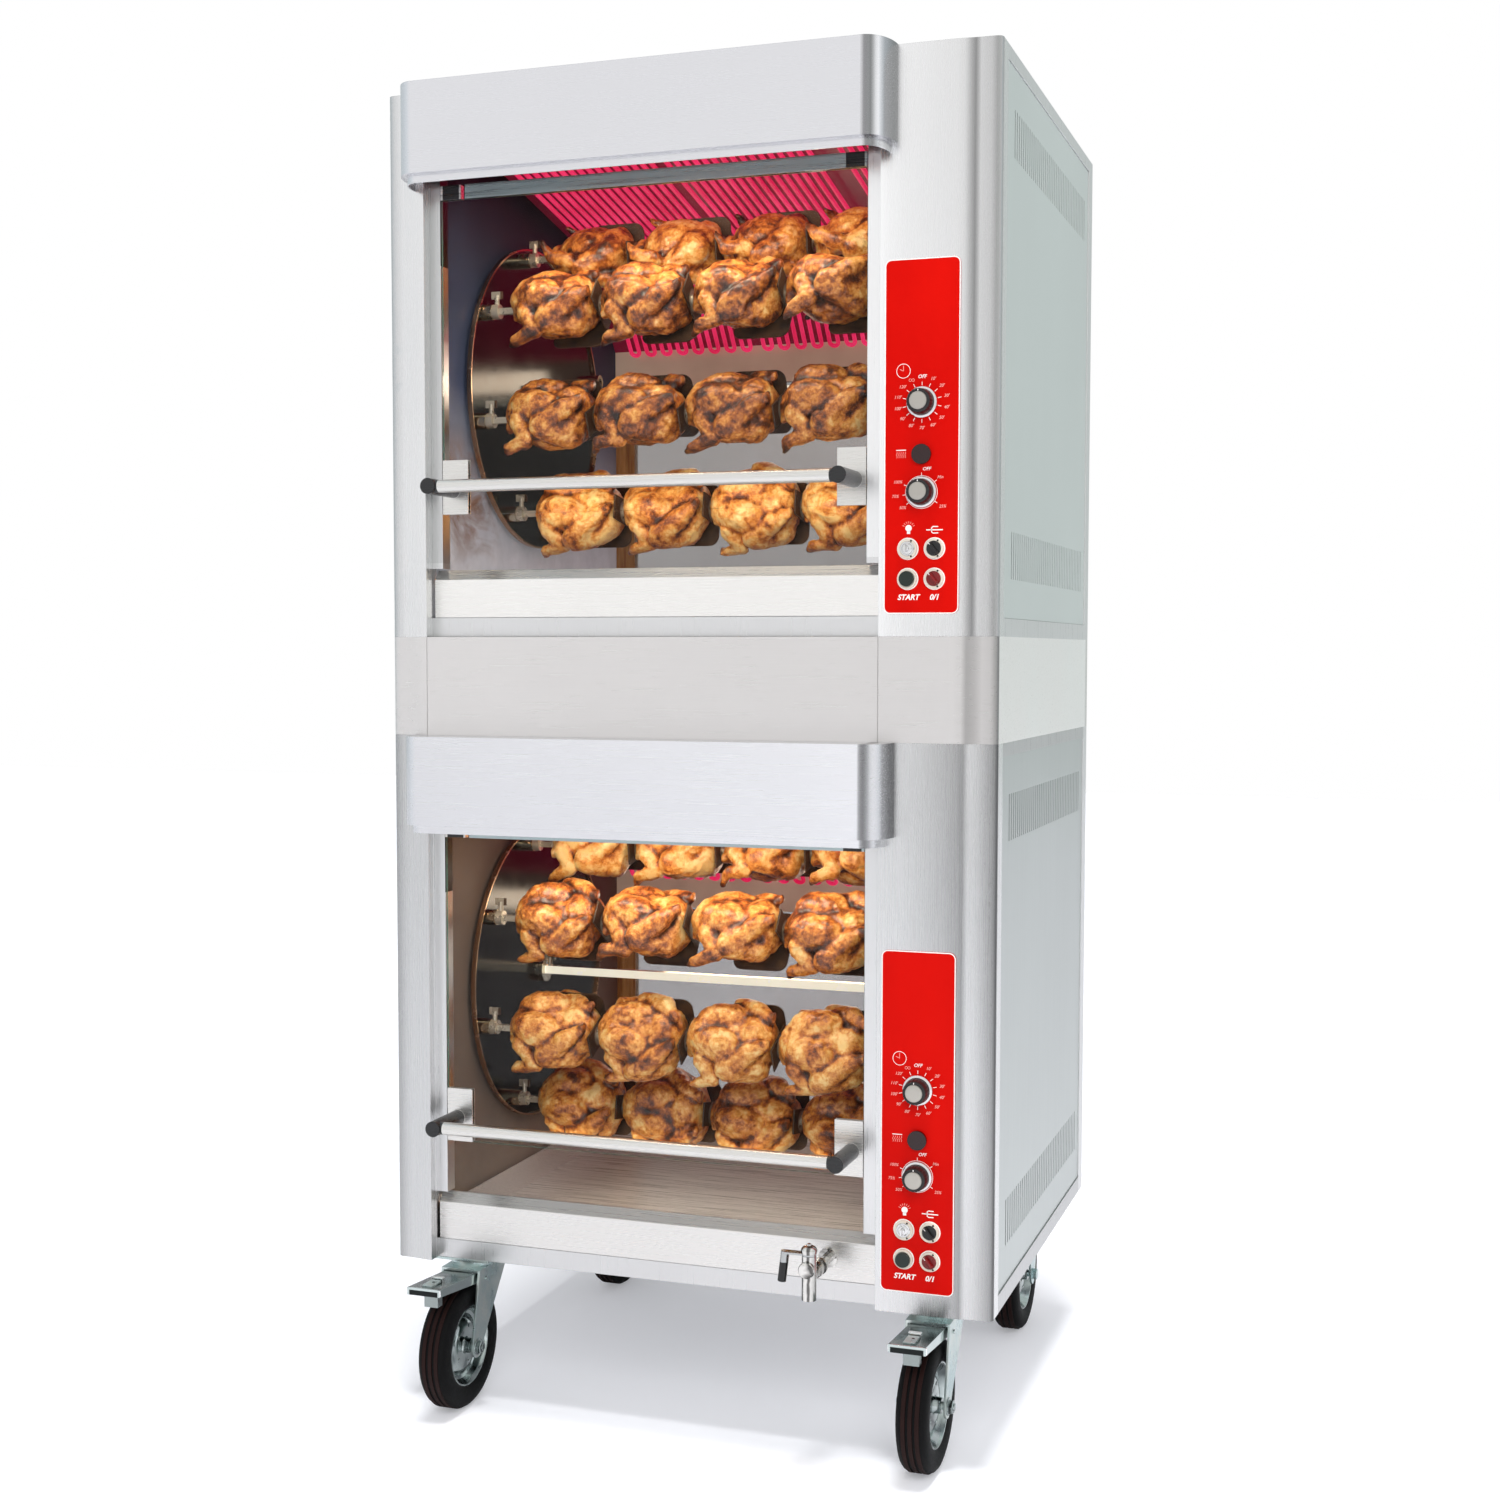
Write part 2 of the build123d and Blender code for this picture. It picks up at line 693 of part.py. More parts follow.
# Spits: journals, square bar, forks and the pinion at the right end
def gear_outline(teeth, first_tooth):
    """Corners of a toothed wheel with straight flanks; the first tooth points along the given angle."""
    pitch_radius = gear_module * teeth / 2
    tip = pitch_radius + gear_module * tooth_addendum
    root = pitch_radius - gear_module * tooth_dedendum
    step = 360 / teeth
    corners = []
    for tooth in range(teeth):
        middle = first_tooth + tooth * step
        for radius, share in (
            (root, -tooth_root_share), (tip, -tooth_tip_share),
            (tip, tooth_tip_share), (root, tooth_root_share),
        ):
            angle = radians(middle + share * step)
            corners.append((-radius * cos(angle), radius * sin(angle)))
    return corners


def fork(x, y, z, turn_angle):
    """A fork on a square bar: a hub, a base plate, and a broad rounded plate behind the chicken to its left."""
    side = Vector(0, cos(radians(turn_angle)), sin(radians(turn_angle)))
    face = Plane(origin=place(x, y, z), x_dir=side, z_dir=(-1, 0, 0))
    with BuildSketch(face) as base_plate:
        Rectangle(2 * fork_spread, fork_base_width)
    extrude(base_plate.sketch, amount=fork_sheet)
    with BuildSketch(face) as hub:
        Circle(fork_hub_radius)
    extrude(hub.sketch, amount=-fork_hub_length)
    middle = place(x - fork_plate_length / 2, y, z) + side * fork_spread
    with BuildSketch(Plane(origin=middle, x_dir=(1, 0, 0), z_dir=side)) as back_plate:
        RectangleRounded(fork_plate_length, fork_plate_width, fork_plate_corner)
    extrude(back_plate.sketch, amount=-fork_sheet)


def wing_screw(x, y, z, start):
    """A wing screw that stands up from a bar or a collar."""
    rod(x, y, z + start - 1, screw_radius, screw_length + 1, (0, 0, 1))
    top = z + start + screw_length
    block(x - wing_width / 2, x + wing_width / 2, y - wing_thickness / 2, y + wing_thickness / 2,
          top - wing_height / 2, top + wing_height / 2)


boss_left = left_disc_x + socket_length
boss_right = right_disc_x - socket_length
collar_radius = socket_radius - 1
for module, base in module_bases.items():
    for number, angle in enumerate(spit_angles, start=1):
        y, z = spit_place(angle, base)
        left_collar = boss_left + seat_gap
        right_collar = boss_right - seat_gap - collar_length
        mesh_turn = angle + 180 + 180 / planet_teeth
        with BuildPart() as spit:
            rod(left_disc_x, y, z, spit_journal, left_collar - left_disc_x, (1, 0, 0))
            rod(left_collar, y, z, collar_radius, collar_length, (1, 0, 0))
            block(left_collar + collar_length, right_collar, y - spit_bar / 2, y + spit_bar / 2,
                  z - spit_bar / 2, z + spit_bar / 2)
            rod(right_collar, y, z, collar_radius, collar_length, (1, 0, 0))
            rod(right_collar + collar_length, y, z, spit_journal,
                gear_x - right_collar - collar_length, (1, 0, 0))
            wing_screw(left_collar + collar_length / 2, y, z, collar_radius)
            for x in fork_xs:
                fork(x, y, z, spit_turns[number - 1])
            with BuildSketch(Plane(origin=place(gear_x, y, z), x_dir=(0, 1, 0), z_dir=(1, 0, 0))):
                Polygon(*gear_outline(planet_teeth, mesh_turn), align=None)
            extrude(amount=gear_width)
        save(spit.part, f"{module}_spit_{number}")

# Rotors: two discs with sockets, hubs, shafts and the centre bar
for module, base in module_bases.items():
    axis_z = base + rotor_z
    with BuildPart() as rotor:
        disc_sides = ((left_disc_x, 1, idle_shaft_reach), (right_disc_x, -1, drive_shaft_reach))
        rim_bore = disc_radius - disc_thickness
        for disc_x, inward, reach in disc_sides:
            rod(disc_x, rotor_y, axis_z, disc_radius, disc_thickness, (inward, 0, 0))
            sleeve(disc_x, rotor_y, axis_z, disc_radius, rim_bore, disc_rim, (inward, 0, 0))
            rod(disc_x, rotor_y, axis_z, hub_radius, hub_length, (inward, 0, 0))
            rod(disc_x, rotor_y, axis_z, shaft_radius, reach, (-inward, 0, 0))
            for angle in socket_angles:
                y, z = spit_place(angle, base)
                rod(disc_x, y, z, socket_radius, socket_length, (inward, 0, 0))
                rod(disc_x - inward, y, z, spit_journal + running_gap, socket_length + 2, (inward, 0, 0),
                    Mode.SUBTRACT)
        block(left_disc_x, right_disc_x, rotor_y - centre_bar / 2, rotor_y + centre_bar / 2,
              axis_z - centre_bar / 2, axis_z + centre_bar / 2)
        wing_screw(boss_left, rotor_y, axis_z, centre_bar / 2)
    save(rotor.part, f"{module}_rotor")

# Chickens: a plump body, two thighs with drumsticks, and two folded wings
def limb(start, end, start_radius, end_radius):
    """A tapering limb with a round joint at each end."""
    run = end - start
    slope = degrees(atan2(start_radius - end_radius, run.length))
    with BuildSketch(Plane(origin=start, z_dir=run)) as section:
        Circle(start_radius)
    extrude(section.sketch, amount=run.length, taper=slope)
    for point, radius in ((start, start_radius), (end, end_radius)):
        with Locations(point):
            Sphere(radius)


half = chicken_length / 2
neck_x = neck_radius - half
breast_x = half - breast_radius
lean = (breast_radius - neck_radius) / (breast_x - neck_x)
level = sqrt(1 - lean * lean)
neck_edge = (neck_x - neck_radius * lean, neck_radius * level)
breast_edge = (breast_x - breast_radius * lean, breast_radius * level)
neck_middle = (neck_x - neck_radius * sqrt(0.5), neck_radius * sqrt(0.5))
breast_middle = (breast_x + breast_radius * sqrt(0.5), breast_radius * sqrt(0.5))
with BuildPart() as chicken:
    with BuildSketch(Plane.XZ):
        with BuildLine():
            ThreePointArc((-half, 0), neck_middle, neck_edge)
            Line(neck_edge, breast_edge)
            ThreePointArc(breast_edge, breast_middle, (half, 0))
            Line((half, 0), (-half, 0))
        make_face()
    revolve(axis=Axis.X)
    for side in (-1, 1):
        hip = Vector(0.3 * half, side * 0.72 * breast_radius, -0.3 * breast_radius)
        knee = Vector(0.82 * half, side * 0.62 * breast_radius, 0.3 * breast_radius)
        ankle = Vector(0.3 * half, side * 0.3 * breast_radius, 0.98 * breast_radius)
        shoulder = Vector(-0.62 * half, side * 0.82 * breast_radius, 0.1 * breast_radius)
        wing_end = Vector(-0.1 * half, side * 0.95 * breast_radius, 0.4 * breast_radius)
        limb(hip, knee, thigh_radius, drumstick_radius)
        limb(knee, ankle, drumstick_radius, drumstick_end)
        limb(shoulder, wing_end, wing_radius, wing_tip)
    with Locations((0, 0, 0)):
        Cylinder(chicken_bore, 2 * chicken_length, rotation=(0, 90, 0), mode=Mode.SUBTRACT)


def chicken_row(y, z, turn_angle):
    """Adds one bar's row of chickens, turned with its forks."""
    spots = []
    for fork_x in fork_xs:
        middle = fork_x - (fork_sheet + fork_pitch) / 2
        spots.append(Location(place(middle, y, z), (turn_angle, 0, 0)))
    with Locations(*spots):
        add(chicken.part)


for module, base in module_bases.items():
    for number, angle in enumerate(spit_angles, start=1):
        y, z = spit_place(angle, base)
        with BuildPart() as chickens:
            chicken_row(y, z, spit_turns[number - 1])
        save(chickens.part, f"{module}_chickens_{number}")

# Control panels: coloured plates with holes for every control
with BuildPart() as control_panels:
    for base in module_bases.values():
        middle = place((panel_left + panel_right) / 2, 0, base + (panel_low + panel_high) / 2)
        with BuildSketch(Plane(origin=middle, x_dir=(1, 0, 0), z_dir=(0, -1, 0))):
            RectangleRounded(panel_right - panel_left, panel_high - panel_low, panel_corner)
        extrude(amount=panel_thickness)
        for height in (timer_height, power_height):
            rod(panel_mid, 1, base + height, knob_shaft + running_gap, panel_thickness + 2, (0, -1, 0),
                Mode.SUBTRACT)
        rod(panel_mid, 1, base + pilot_height, bezel_barrel, panel_thickness + 2, (0, -1, 0), Mode.SUBTRACT)
        for row in (top_row, low_row):
            for side in (-1, 1):
                rod(panel_mid + side * switch_offset, 1, base + row, bezel_barrel,
                    panel_thickness + 2, (0, -1, 0), Mode.SUBTRACT)
save(control_panels.part, "control_panels")

# Bezels of the switches, and the pilot lamps
barrel = bezel_barrel - running_gap
barrel_length = panel_thickness + bezel_tail
with BuildPart() as switch_bezels:
    for base in module_bases.values():
        for row in (top_row, low_row):
            for side in (-1, 1):
                x = panel_mid + side * switch_offset
                sleeve(x, -panel_thickness, base + row, bezel_radius, bezel_bore, bezel_depth, (0, -1, 0))
                sleeve(x, -panel_thickness, base + row, barrel, bezel_bore, barrel_length, (0, 1, 0))
        rod(panel_mid, -panel_thickness, base + pilot_height, bezel_radius, bezel_depth, (0, -1, 0))
        rod(panel_mid, -panel_thickness, base + pilot_height, barrel, barrel_length, (0, 1, 0))
save(switch_bezels.part, "switch_bezels")

# Knobs, selectors, key switches and start buttons
bezel_face = -panel_thickness - bezel_depth
for module, base in module_bases.items():
    for name, height in (("timer", timer_height), ("power", power_height)):
        z = base + height
        skirt_back = -panel_thickness - seat_gap
        body_back = skirt_back - knob_skirt_depth
        cap_back = body_back - knob_depth
        with BuildPart() as knob:
            rod(panel_mid, skirt_back, z, knob_skirt, knob_skirt_depth, (0, -1, 0))
            rod(panel_mid, body_back, z, knob_radius, knob_depth, (0, -1, 0))
            rod(panel_mid, cap_back, z, knob_cap_radius, knob_cap_depth, (0, -1, 0))
            rod(panel_mid, skirt_back, z, knob_shaft, knob_shaft_tail, (0, 1, 0))
        save(knob.part, f"{module}_{name}_knob")
    selectors = (("light_key", -1, top_row), ("spit_selector", 1, top_row), ("main_selector", 1, low_row))
    for name, side, row in selectors:
        x = panel_mid + side * switch_offset
        z = base + row
        face_y = bezel_face - button_proud
        with BuildPart() as selector:
            rod(x, face_y, z, button_radius, button_proud + bezel_depth + button_tail, (0, 1, 0))
            if name == "light_key":
                block(x - key_width / 2, x + key_width / 2, face_y - key_depth, face_y,
                      z - key_height / 2, z + key_height / 2)
            else:
                block(x - grip_width / 2, x + grip_width / 2, face_y - grip_depth, face_y,
                      z - grip_length / 2, z + grip_length / 2)
        save(selector.part, f"{module}_{name}")
    with BuildPart() as start_button:
        rod(panel_mid - switch_offset, bezel_face - button_rise, base + low_row, button_radius,
            button_rise + bezel_depth + button_tail, (0, 1, 0))
    save(start_button.part, f"{module}_start_button")

# Drive units: a gear motor on each right wall, and the fixed sun gear inside the cavity
with BuildPart() as drive_units:
    for base in module_bases.values():
        axis_z = base + rotor_z
        box_x = cavity_right + bearing_length
        box_low = axis_z - gearbox_height / 2
        box_high = axis_z + gearbox_height / 2
        block(box_x, box_x + gearbox_width, rotor_y - gearbox_depth / 2, rotor_y + gearbox_depth / 2,
              box_low, box_high)
        motor_y = rotor_y + gearbox_depth / 2
        rod(box_x + gearbox_width / 2, motor_y, axis_z, motor_radius, motor_length, (0, 1, 0))
        rod(box_x - 1, rotor_y, axis_z, shaft_radius + running_gap, gearbox_width + 2, (1, 0, 0),
            Mode.SUBTRACT)
        for side in (-1, 1):
            strap_y = rotor_y + side * (gearbox_depth - strap_width) / 2
            strap_front = strap_y - strap_width / 2
            block(cavity_right, box_x, strap_front, strap_front + strap_width, box_low, box_high)
        with BuildSketch(Plane(origin=place(gear_x, rotor_y, axis_z), x_dir=(0, 1, 0), z_dir=(1, 0, 0))):
            Polygon(*gear_outline(sun_teeth, 0), align=None)
            Circle(sun_bore_radius, mode=Mode.SUBTRACT)
        extrude(amount=gear_width)
        spacer_x = gear_x + gear_width
        sleeve(spacer_x, rotor_y, axis_z, sun_spacer_radius, sun_bore_radius,
               cavity_right - sheet - spacer_x, (1, 0, 0))
save(drive_units.part, "drive_units")

# Drain tap on the lower drawer
tap_base = module_bases["lower"]
tap_z = tap_base + tap_height
with BuildPart() as tap_body:
    rod(tap_x, drawer_plane, tap_z, tap_flange_radius, tap_flange, (0, -1, 0))
    rod(tap_x, drawer_plane, tap_z, tap_stem_radius, drawer_plane - tap_y, (0, -1, 0))
    rod(tap_x, tap_y, tap_base + tap_low, tap_radius, tap_high - tap_low, (0, 0, 1))
    rod(tap_x, tap_y, tap_base + tap_low, tap_radius - tap_wall, tap_height - tap_low - tap_stem_radius,
        (0, 0, 1), Mode.SUBTRACT)
save(tap_body.part, "tap_body")

lever_z = tap_base + tap_high + seat_gap
with BuildPart() as tap_lever:
    rod(tap_x, tap_y, lever_z, tap_radius, lever_head, (0, 0, 1))
    block(tap_x - lever_reach, tap_x, tap_y - lever_width / 2, tap_y + lever_width / 2,
          lever_z, lever_z + lever_sheet)
    grip_top = lever_z + lever_sheet
    rod(tap_x - lever_reach, tap_y, grip_top, lever_grip_radius, lever_grip_length, (-0.12, 0, -1))
save(tap_lever.part, "tap_lever")


# Casters
plate_low = caster_height - plate_thickness
leg_x = wheel_width / 2 + leg_gap
fork_half = leg_x + leg_thickness


def fork_legs(x, top_y, axle_y):
    """The crown, the two tapering legs, and the axle with its nuts."""
    for side in (-1, 1):
        low_x = x + leg_x if side > 0 else x - fork_half
        with BuildSketch(Plane(origin=place(low_x, 0, 0), x_dir=(0, 1, 0), z_dir=(1, 0, 0))) as leg:
            with BuildLine():
                Line((top_y - leg_top / 2, crown_height), (top_y + leg_top / 2, crown_height))
                Line((top_y + leg_top / 2, crown_height), (axle_y + leg_foot, wheel_radius))
                ThreePointArc((axle_y + leg_foot, wheel_radius), (axle_y, wheel_radius - leg_foot),
                              (axle_y - leg_foot, wheel_radius))
                Line((axle_y - leg_foot, wheel_radius), (top_y - leg_top / 2, crown_height))
            make_face()
        extrude(leg.sketch, amount=leg_thickness)
        nut_plane = Plane(origin=place(x + side * fork_half, axle_y, wheel_radius), z_dir=(side, 0, 0))
        with BuildSketch(nut_plane) as nut:
            RegularPolygon(nut_width, 6)
        extrude(nut.sketch, amount=nut_height)
    block(x - fork_half, x + fork_half, top_y - leg_top / 2, top_y + leg_top / 2,
          crown_height, crown_height + crown_thickness)
    rod(x - fork_half, axle_y, wheel_radius, axle_radius, 2 * fork_half, (1, 0, 0))


with BuildPart() as caster_mounts:
    for x in caster_xs.values():
        for y in (swivel_y, rear_caster_y):
            block(x - plate_x / 2, x + plate_x / 2, y - plate_y / 2, y + plate_y / 2,
                  plate_low, caster_height)
        sleeve(x, swivel_y, plate_low, swivel_radius, swivel_stub, race_height, (0, 0, -1))
        neck_length = plate_low - crown_height - crown_thickness
        rod(x, rear_caster_y, plate_low, swivel_radius, neck_length, (0, 0, -1))
        fork_legs(x, rear_caster_y, rear_caster_y)
save(caster_mounts.part, "caster_mounts")

stub_top = plate_low - seat_gap
head_top = plate_low - race_height - seat_gap
for side, x in caster_xs.items():
    with BuildPart() as front_fork:
        fork_legs(x, swivel_y, wheel_y)
        rod(x, swivel_y, head_top, swivel_radius, head_top - crown_height - crown_thickness, (0, 0, -1))
        rod(x, swivel_y, stub_top, swivel_stub - running_gap, race_height, (0, 0, -1))
        rod(x - fork_half - 1, pedal_pivot_y, pedal_pivot_z, pedal_pivot_radius + running_gap,
            2 * fork_half + 2, (1, 0, 0), Mode.SUBTRACT)
    save(front_fork.part, f"front_{side}_caster_fork")

    rise = (pedal_front_height - pedal_back_height) / (pedal_back + pedal_reach)
    flange = [
        (pedal_back, pedal_back_height), (-pedal_reach, pedal_front_height),
        (-pedal_reach, pedal_front_height - pedal_skirt), (pedal_pivot_y - pedal_skirt, pedal_pivot_z - 5),
        (pedal_back, pedal_pivot_z - 5),
    ]
    tread = [
        (pedal_back, pedal_back_height), (-pedal_reach, pedal_front_height),
        (-pedal_reach, pedal_front_height - pedal_sheet), (pedal_back, pedal_back_height - pedal_sheet),
    ]
    with BuildPart() as pedal:
        side_shape(x - pedal_half_width, pedal_sheet, flange)
        side_shape(x + pedal_half_width - pedal_sheet, pedal_sheet, flange)
        side_shape(x - pedal_half_width, 2 * pedal_half_width, tread)
        block(x - pedal_half_width, x + pedal_half_width, -pedal_reach, -pedal_reach + pedal_sheet,
              pedal_front_height - pedal_skirt, pedal_front_height)
        shoe_top = pedal_front_height - rise * (shoe_back + pedal_reach) - pedal_sheet / 2
        block(x - shoe_width / 2, x + shoe_width / 2, shoe_front, shoe_back, shoe_low, shoe_top)
        pivot_length = 2 * fork_half + 4
        rod(x - fork_half - 2, pedal_pivot_y, pedal_pivot_z, pedal_pivot_radius, pivot_length, (1, 0, 0))
    save(pedal.part, f"front_{side}_brake_pedal")

wheel_half = wheel_width / 2
wheel_bore = axle_radius + running_gap
wheel_section = [
    (-wheel_half, wheel_bore), (wheel_half, wheel_bore), (wheel_half, hub_outer),
    (wheel_half - rim_recess, hub_outer + 4), (wheel_half - rim_recess, rim_radius - 6),
    (wheel_half - 3, rim_radius), (wheel_half, rim_radius + 3), (wheel_half, wheel_radius - tyre_shoulder),
]
for end, y in (("front", wheel_y), ("rear", rear_caster_y)):
    for side, x in caster_xs.items():
        with BuildPart() as wheel:
            with BuildSketch(Plane(origin=place(x, y, wheel_radius), x_dir=(1, 0, 0), z_dir=(0, -1, 0))):
                with BuildLine():
                    Polyline(*wheel_section[1:])
                    ThreePointArc((wheel_half, wheel_radius - tyre_shoulder), (0, wheel_radius),
                                  (-wheel_half, wheel_radius - tyre_shoulder))
                    Polyline(*[(-u, v) for u, v in reversed(wheel_section[1:])])
                    Line((-wheel_half, wheel_bore), (wheel_half, wheel_bore))
                make_face()
            revolve(axis=Axis(place(x, y, wheel_radius), (1, 0, 0)))
        save(wheel.part, f"{end}_{side}_wheel")
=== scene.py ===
"""Looks for the electric chicken rotisserie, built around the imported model.

Metres, in the model's own frame. Helpers take millimetres from the cabinet's left, front and floor.
"""
import math

import bmesh
import bpy
import numpy as np
from mathutils import Euler, Matrix, Vector, noise


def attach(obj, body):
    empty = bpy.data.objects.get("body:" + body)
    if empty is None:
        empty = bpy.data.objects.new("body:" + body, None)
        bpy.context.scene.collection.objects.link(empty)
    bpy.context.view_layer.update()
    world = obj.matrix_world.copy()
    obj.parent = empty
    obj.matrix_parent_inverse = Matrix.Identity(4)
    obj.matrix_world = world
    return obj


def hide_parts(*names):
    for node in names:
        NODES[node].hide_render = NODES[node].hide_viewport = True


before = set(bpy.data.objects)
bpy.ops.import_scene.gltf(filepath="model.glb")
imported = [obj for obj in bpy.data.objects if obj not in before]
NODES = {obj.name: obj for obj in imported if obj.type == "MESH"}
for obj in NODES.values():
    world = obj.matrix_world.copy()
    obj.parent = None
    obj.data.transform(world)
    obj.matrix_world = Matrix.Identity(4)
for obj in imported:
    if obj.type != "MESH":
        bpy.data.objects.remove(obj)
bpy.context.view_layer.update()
scene = bpy.context.scene
BASES = {"lower": 240.0, "upper": 1252.0}
MIDDLE_X, MIDDLE_Y = 495.0, 342.5
ROTOR_Y, ROTOR_UP = 384, 420
SPIT_RADIUS = 240
SPIT_ANGLES = (75, 30, -15, -60)
PANEL_X = 876
KNOBS = {"timer": 340, "power": 210}
SWITCH_X = 20
TOP_ROW, BOTTOM_ROW = 128, 84
PRINT_FACE = -1.62
CASTER_X = {"left": 103, "right": 887}
FRONT_Y, REAR_Y = 17, 680
AXLE_UP = 100
TAP_X, TAP_Y = 731, -75
OUT = (0, -1, 0)
LIFT = 1.25


def P(x, y, z):
    """A point given in millimetres from the cabinet's left, front and floor."""
    return Vector(((x - MIDDLE_X) / 1000, (y - MIDDLE_Y) / 1000, z / 1000))


def spit_place(base, number):
    """Where a spit stands at rest, as (y, z) in cabinet millimetres."""
    tilt = math.radians(SPIT_ANGLES[number - 1])
    return ROTOR_Y - SPIT_RADIUS * math.cos(tilt), base + ROTOR_UP + SPIT_RADIUS * math.sin(tilt)


def rgb(red, green, blue):
    """A display colour from 0 to 255 as the shader's own numbers."""
    values = []
    for value in (red, green, blue):
        value /= 255
        values.append(value / 12.92 if value <= 0.04045 else ((value + 0.055) / 1.055) ** 2.4)
    return (*values, 1.0)


def grey(tone):
    return (tone, tone, tone, 1)


# Materials


class Nodes:
    """Shader nodes being put together in one tree."""

    def __init__(self, tree):
        self.tree = tree
        self.tree.nodes.clear()

    def node(self, kind, **settings):
        made = self.tree.nodes.new(kind)
        for key, value in settings.items():
            setattr(made, key, value)
        return made

    def join(self, source, target):
        self.tree.links.new(source, target)

    def feed(self, socket, value):
        if isinstance(value, bpy.types.NodeSocket):
            self.join(value, socket)
        else:
            socket.default_value = value

    def span(self, value, low, high, to_low=0.0, to_high=1.0):
        made = self.node("ShaderNodeMapRange")
        self.feed(made.inputs[0], value)
        for index, number in enumerate((low, high, to_low, to_high), start=1):
            made.inputs[index].default_value = number
        return made.outputs[0]

    def math(self, operation, first, second=0.0):
        made = self.node("ShaderNodeMath", operation=operation)
        self.feed(made.inputs[0], first)
        self.feed(made.inputs[1], second)
        return made.outputs[0]

    def plus(self, first, second):
        return self.math("ADD", first, second)

    def minus(self, first, second):
        return self.math("SUBTRACT", first, second)

    def times(self, first, second):
        return self.math("MULTIPLY", first, second)

    def blend(self, factor, first, second, mode="MIX"):
        made = self.node("ShaderNodeMix", data_type="RGBA", blend_type=mode)
        for index, value in ((0, factor), (6, first), (7, second)):
            self.feed(made.inputs[index], value)
        return made.outputs[2]

    def ramp(self, value, stops):
        made = self.node("ShaderNodeValToRGB")
        self.feed(made.inputs[0], value)
        elements = made.color_ramp.elements
        while len(elements) < len(stops):
            elements.new(0.5)
        for element, (position, colour) in zip(elements, stops):
            element.position = position
            element.color = colour
        return made.outputs[0]


class Finish(Nodes):
    """A node material under construction, with patterns laid out in the model's own frame."""

    def __init__(self, name):
        self.material = bpy.data.materials.new(name)
        self.material.use_nodes = True
        super().__init__(self.material.node_tree)
        self.shader = self.node("ShaderNodeBsdfPrincipled")
        output = self.node("ShaderNodeOutputMaterial")
        self.join(self.shader.outputs[0], output.inputs[0])
        self.coords = self.node("ShaderNodeTexCoord")

    def set(self, **values):
        """Feeds the shader's sockets and returns the material."""
        for key, value in values.items():
            self.feed(self.shader.inputs[key.replace("_", " ")], value)
        return self.material

    def place(self, scale, shift=(0, 0, 0)):
        mapping = self.node("ShaderNodeMapping")
        self.join(self.coords.outputs["Object"], mapping.inputs[0])
        mapping.inputs["Location"].default_value = shift
        mapping.inputs["Scale"].default_value = scale
        return mapping.outputs[0]

    def axis(self, letter, source="Object"):
        split = self.node("ShaderNodeSeparateXYZ")
        self.join(self.coords.outputs[source], split.inputs[0])
        return split.outputs["xyz".index(letter)]

    def noise(self, scale, detail=3.0, rough=0.5, warp=0.0, shift=(0, 0, 0)):
        """Noise with its own scale along each axis, or one scale for all three."""
        made = self.node("ShaderNodeTexNoise")
        scale = scale if isinstance(scale, tuple) else (scale, scale, scale)
        self.join(self.place(scale, shift), made.inputs["Vector"])
        for key, value in (("Scale", 1.0), ("Detail", detail), ("Roughness", rough), ("Distortion", warp)):
            made.inputs[key].default_value = value
        return made.outputs[0]

    def cells(self, scale):
        made = self.node("ShaderNodeTexVoronoi", feature="F1")
        self.join(self.place((scale, scale, scale)), made.inputs["Vector"])
        made.inputs["Scale"].default_value = 1.0
        return made.outputs["Distance"]

    def between(self, value, low, high, fade=0.0002):
        """1 where value lies between low and high."""
        rise = self.span(value, low - fade, low + fade)
        fall = self.span(value, high - fade, high + fade, 1.0, 0.0)
        return self.times(rise, fall)

    def slab(self, letter, low, high, fade=0.0002):
        """1 between two places along one axis, in cabinet millimetres."""
        index = "xyz".index(letter)
        return self.between(self.axis(letter), P(low, low, low)[index], P(high, high, high)[index], fade)

    def box(self, low, high):
        """1 inside a box given by two corners in cabinet millimetres; a side over 1.5 m long is left open."""
        low, high = P(*low), P(*high)
        inside = 1.0
        for index, letter in enumerate("xyz"):
            if high[index] - low[index] < 1.5:
                inside = self.times(inside, self.between(self.axis(letter), low[index], high[index]))
        return inside

    def reach(self, y, z):
        """Metres from the line along x through (y, z), given in cabinet millimetres."""
        dy = self.minus(self.axis("y"), P(0, y, 0).y)
        dz = self.minus(self.axis("z"), z / 1000)
        return self.math("SQRT", self.plus(self.times(dy, dy), self.times(dz, dz)))

    def vary(self, pattern, low=0.0, high=1.0):
        """Spreads the middle of a noise pattern over a range of values."""
        return self.span(pattern, 0.3, 0.7, low, high)

    def tone(self, colour, factor, tone):
        """Colour times a grey tone where the factor is 1."""
        return self.blend(factor, colour, grey(tone), "MULTIPLY")

    def shade(self, colour, pattern, darkest, low=0.3):
        """Colour darkened by a noise pattern."""
        return self.blend(1.0, colour, self.span(pattern, low, 0.7, darkest, 1.0), "MULTIPLY")

    def bump(self, height, strength, distance, edge=None):
        """Relief from a pattern, with edges rounded to a radius in metres where one is given."""
        made = self.node("ShaderNodeBump")
        made.inputs["Strength"].default_value = strength
        made.inputs["Distance"].default_value = distance
        self.feed(made.inputs["Height"], height)
        if edge:
            bevel = self.node("ShaderNodeBevel", samples=4)
            bevel.inputs[0].default_value = edge
            self.join(bevel.outputs[0], made.inputs["Normal"])
        return made.outputs[0]


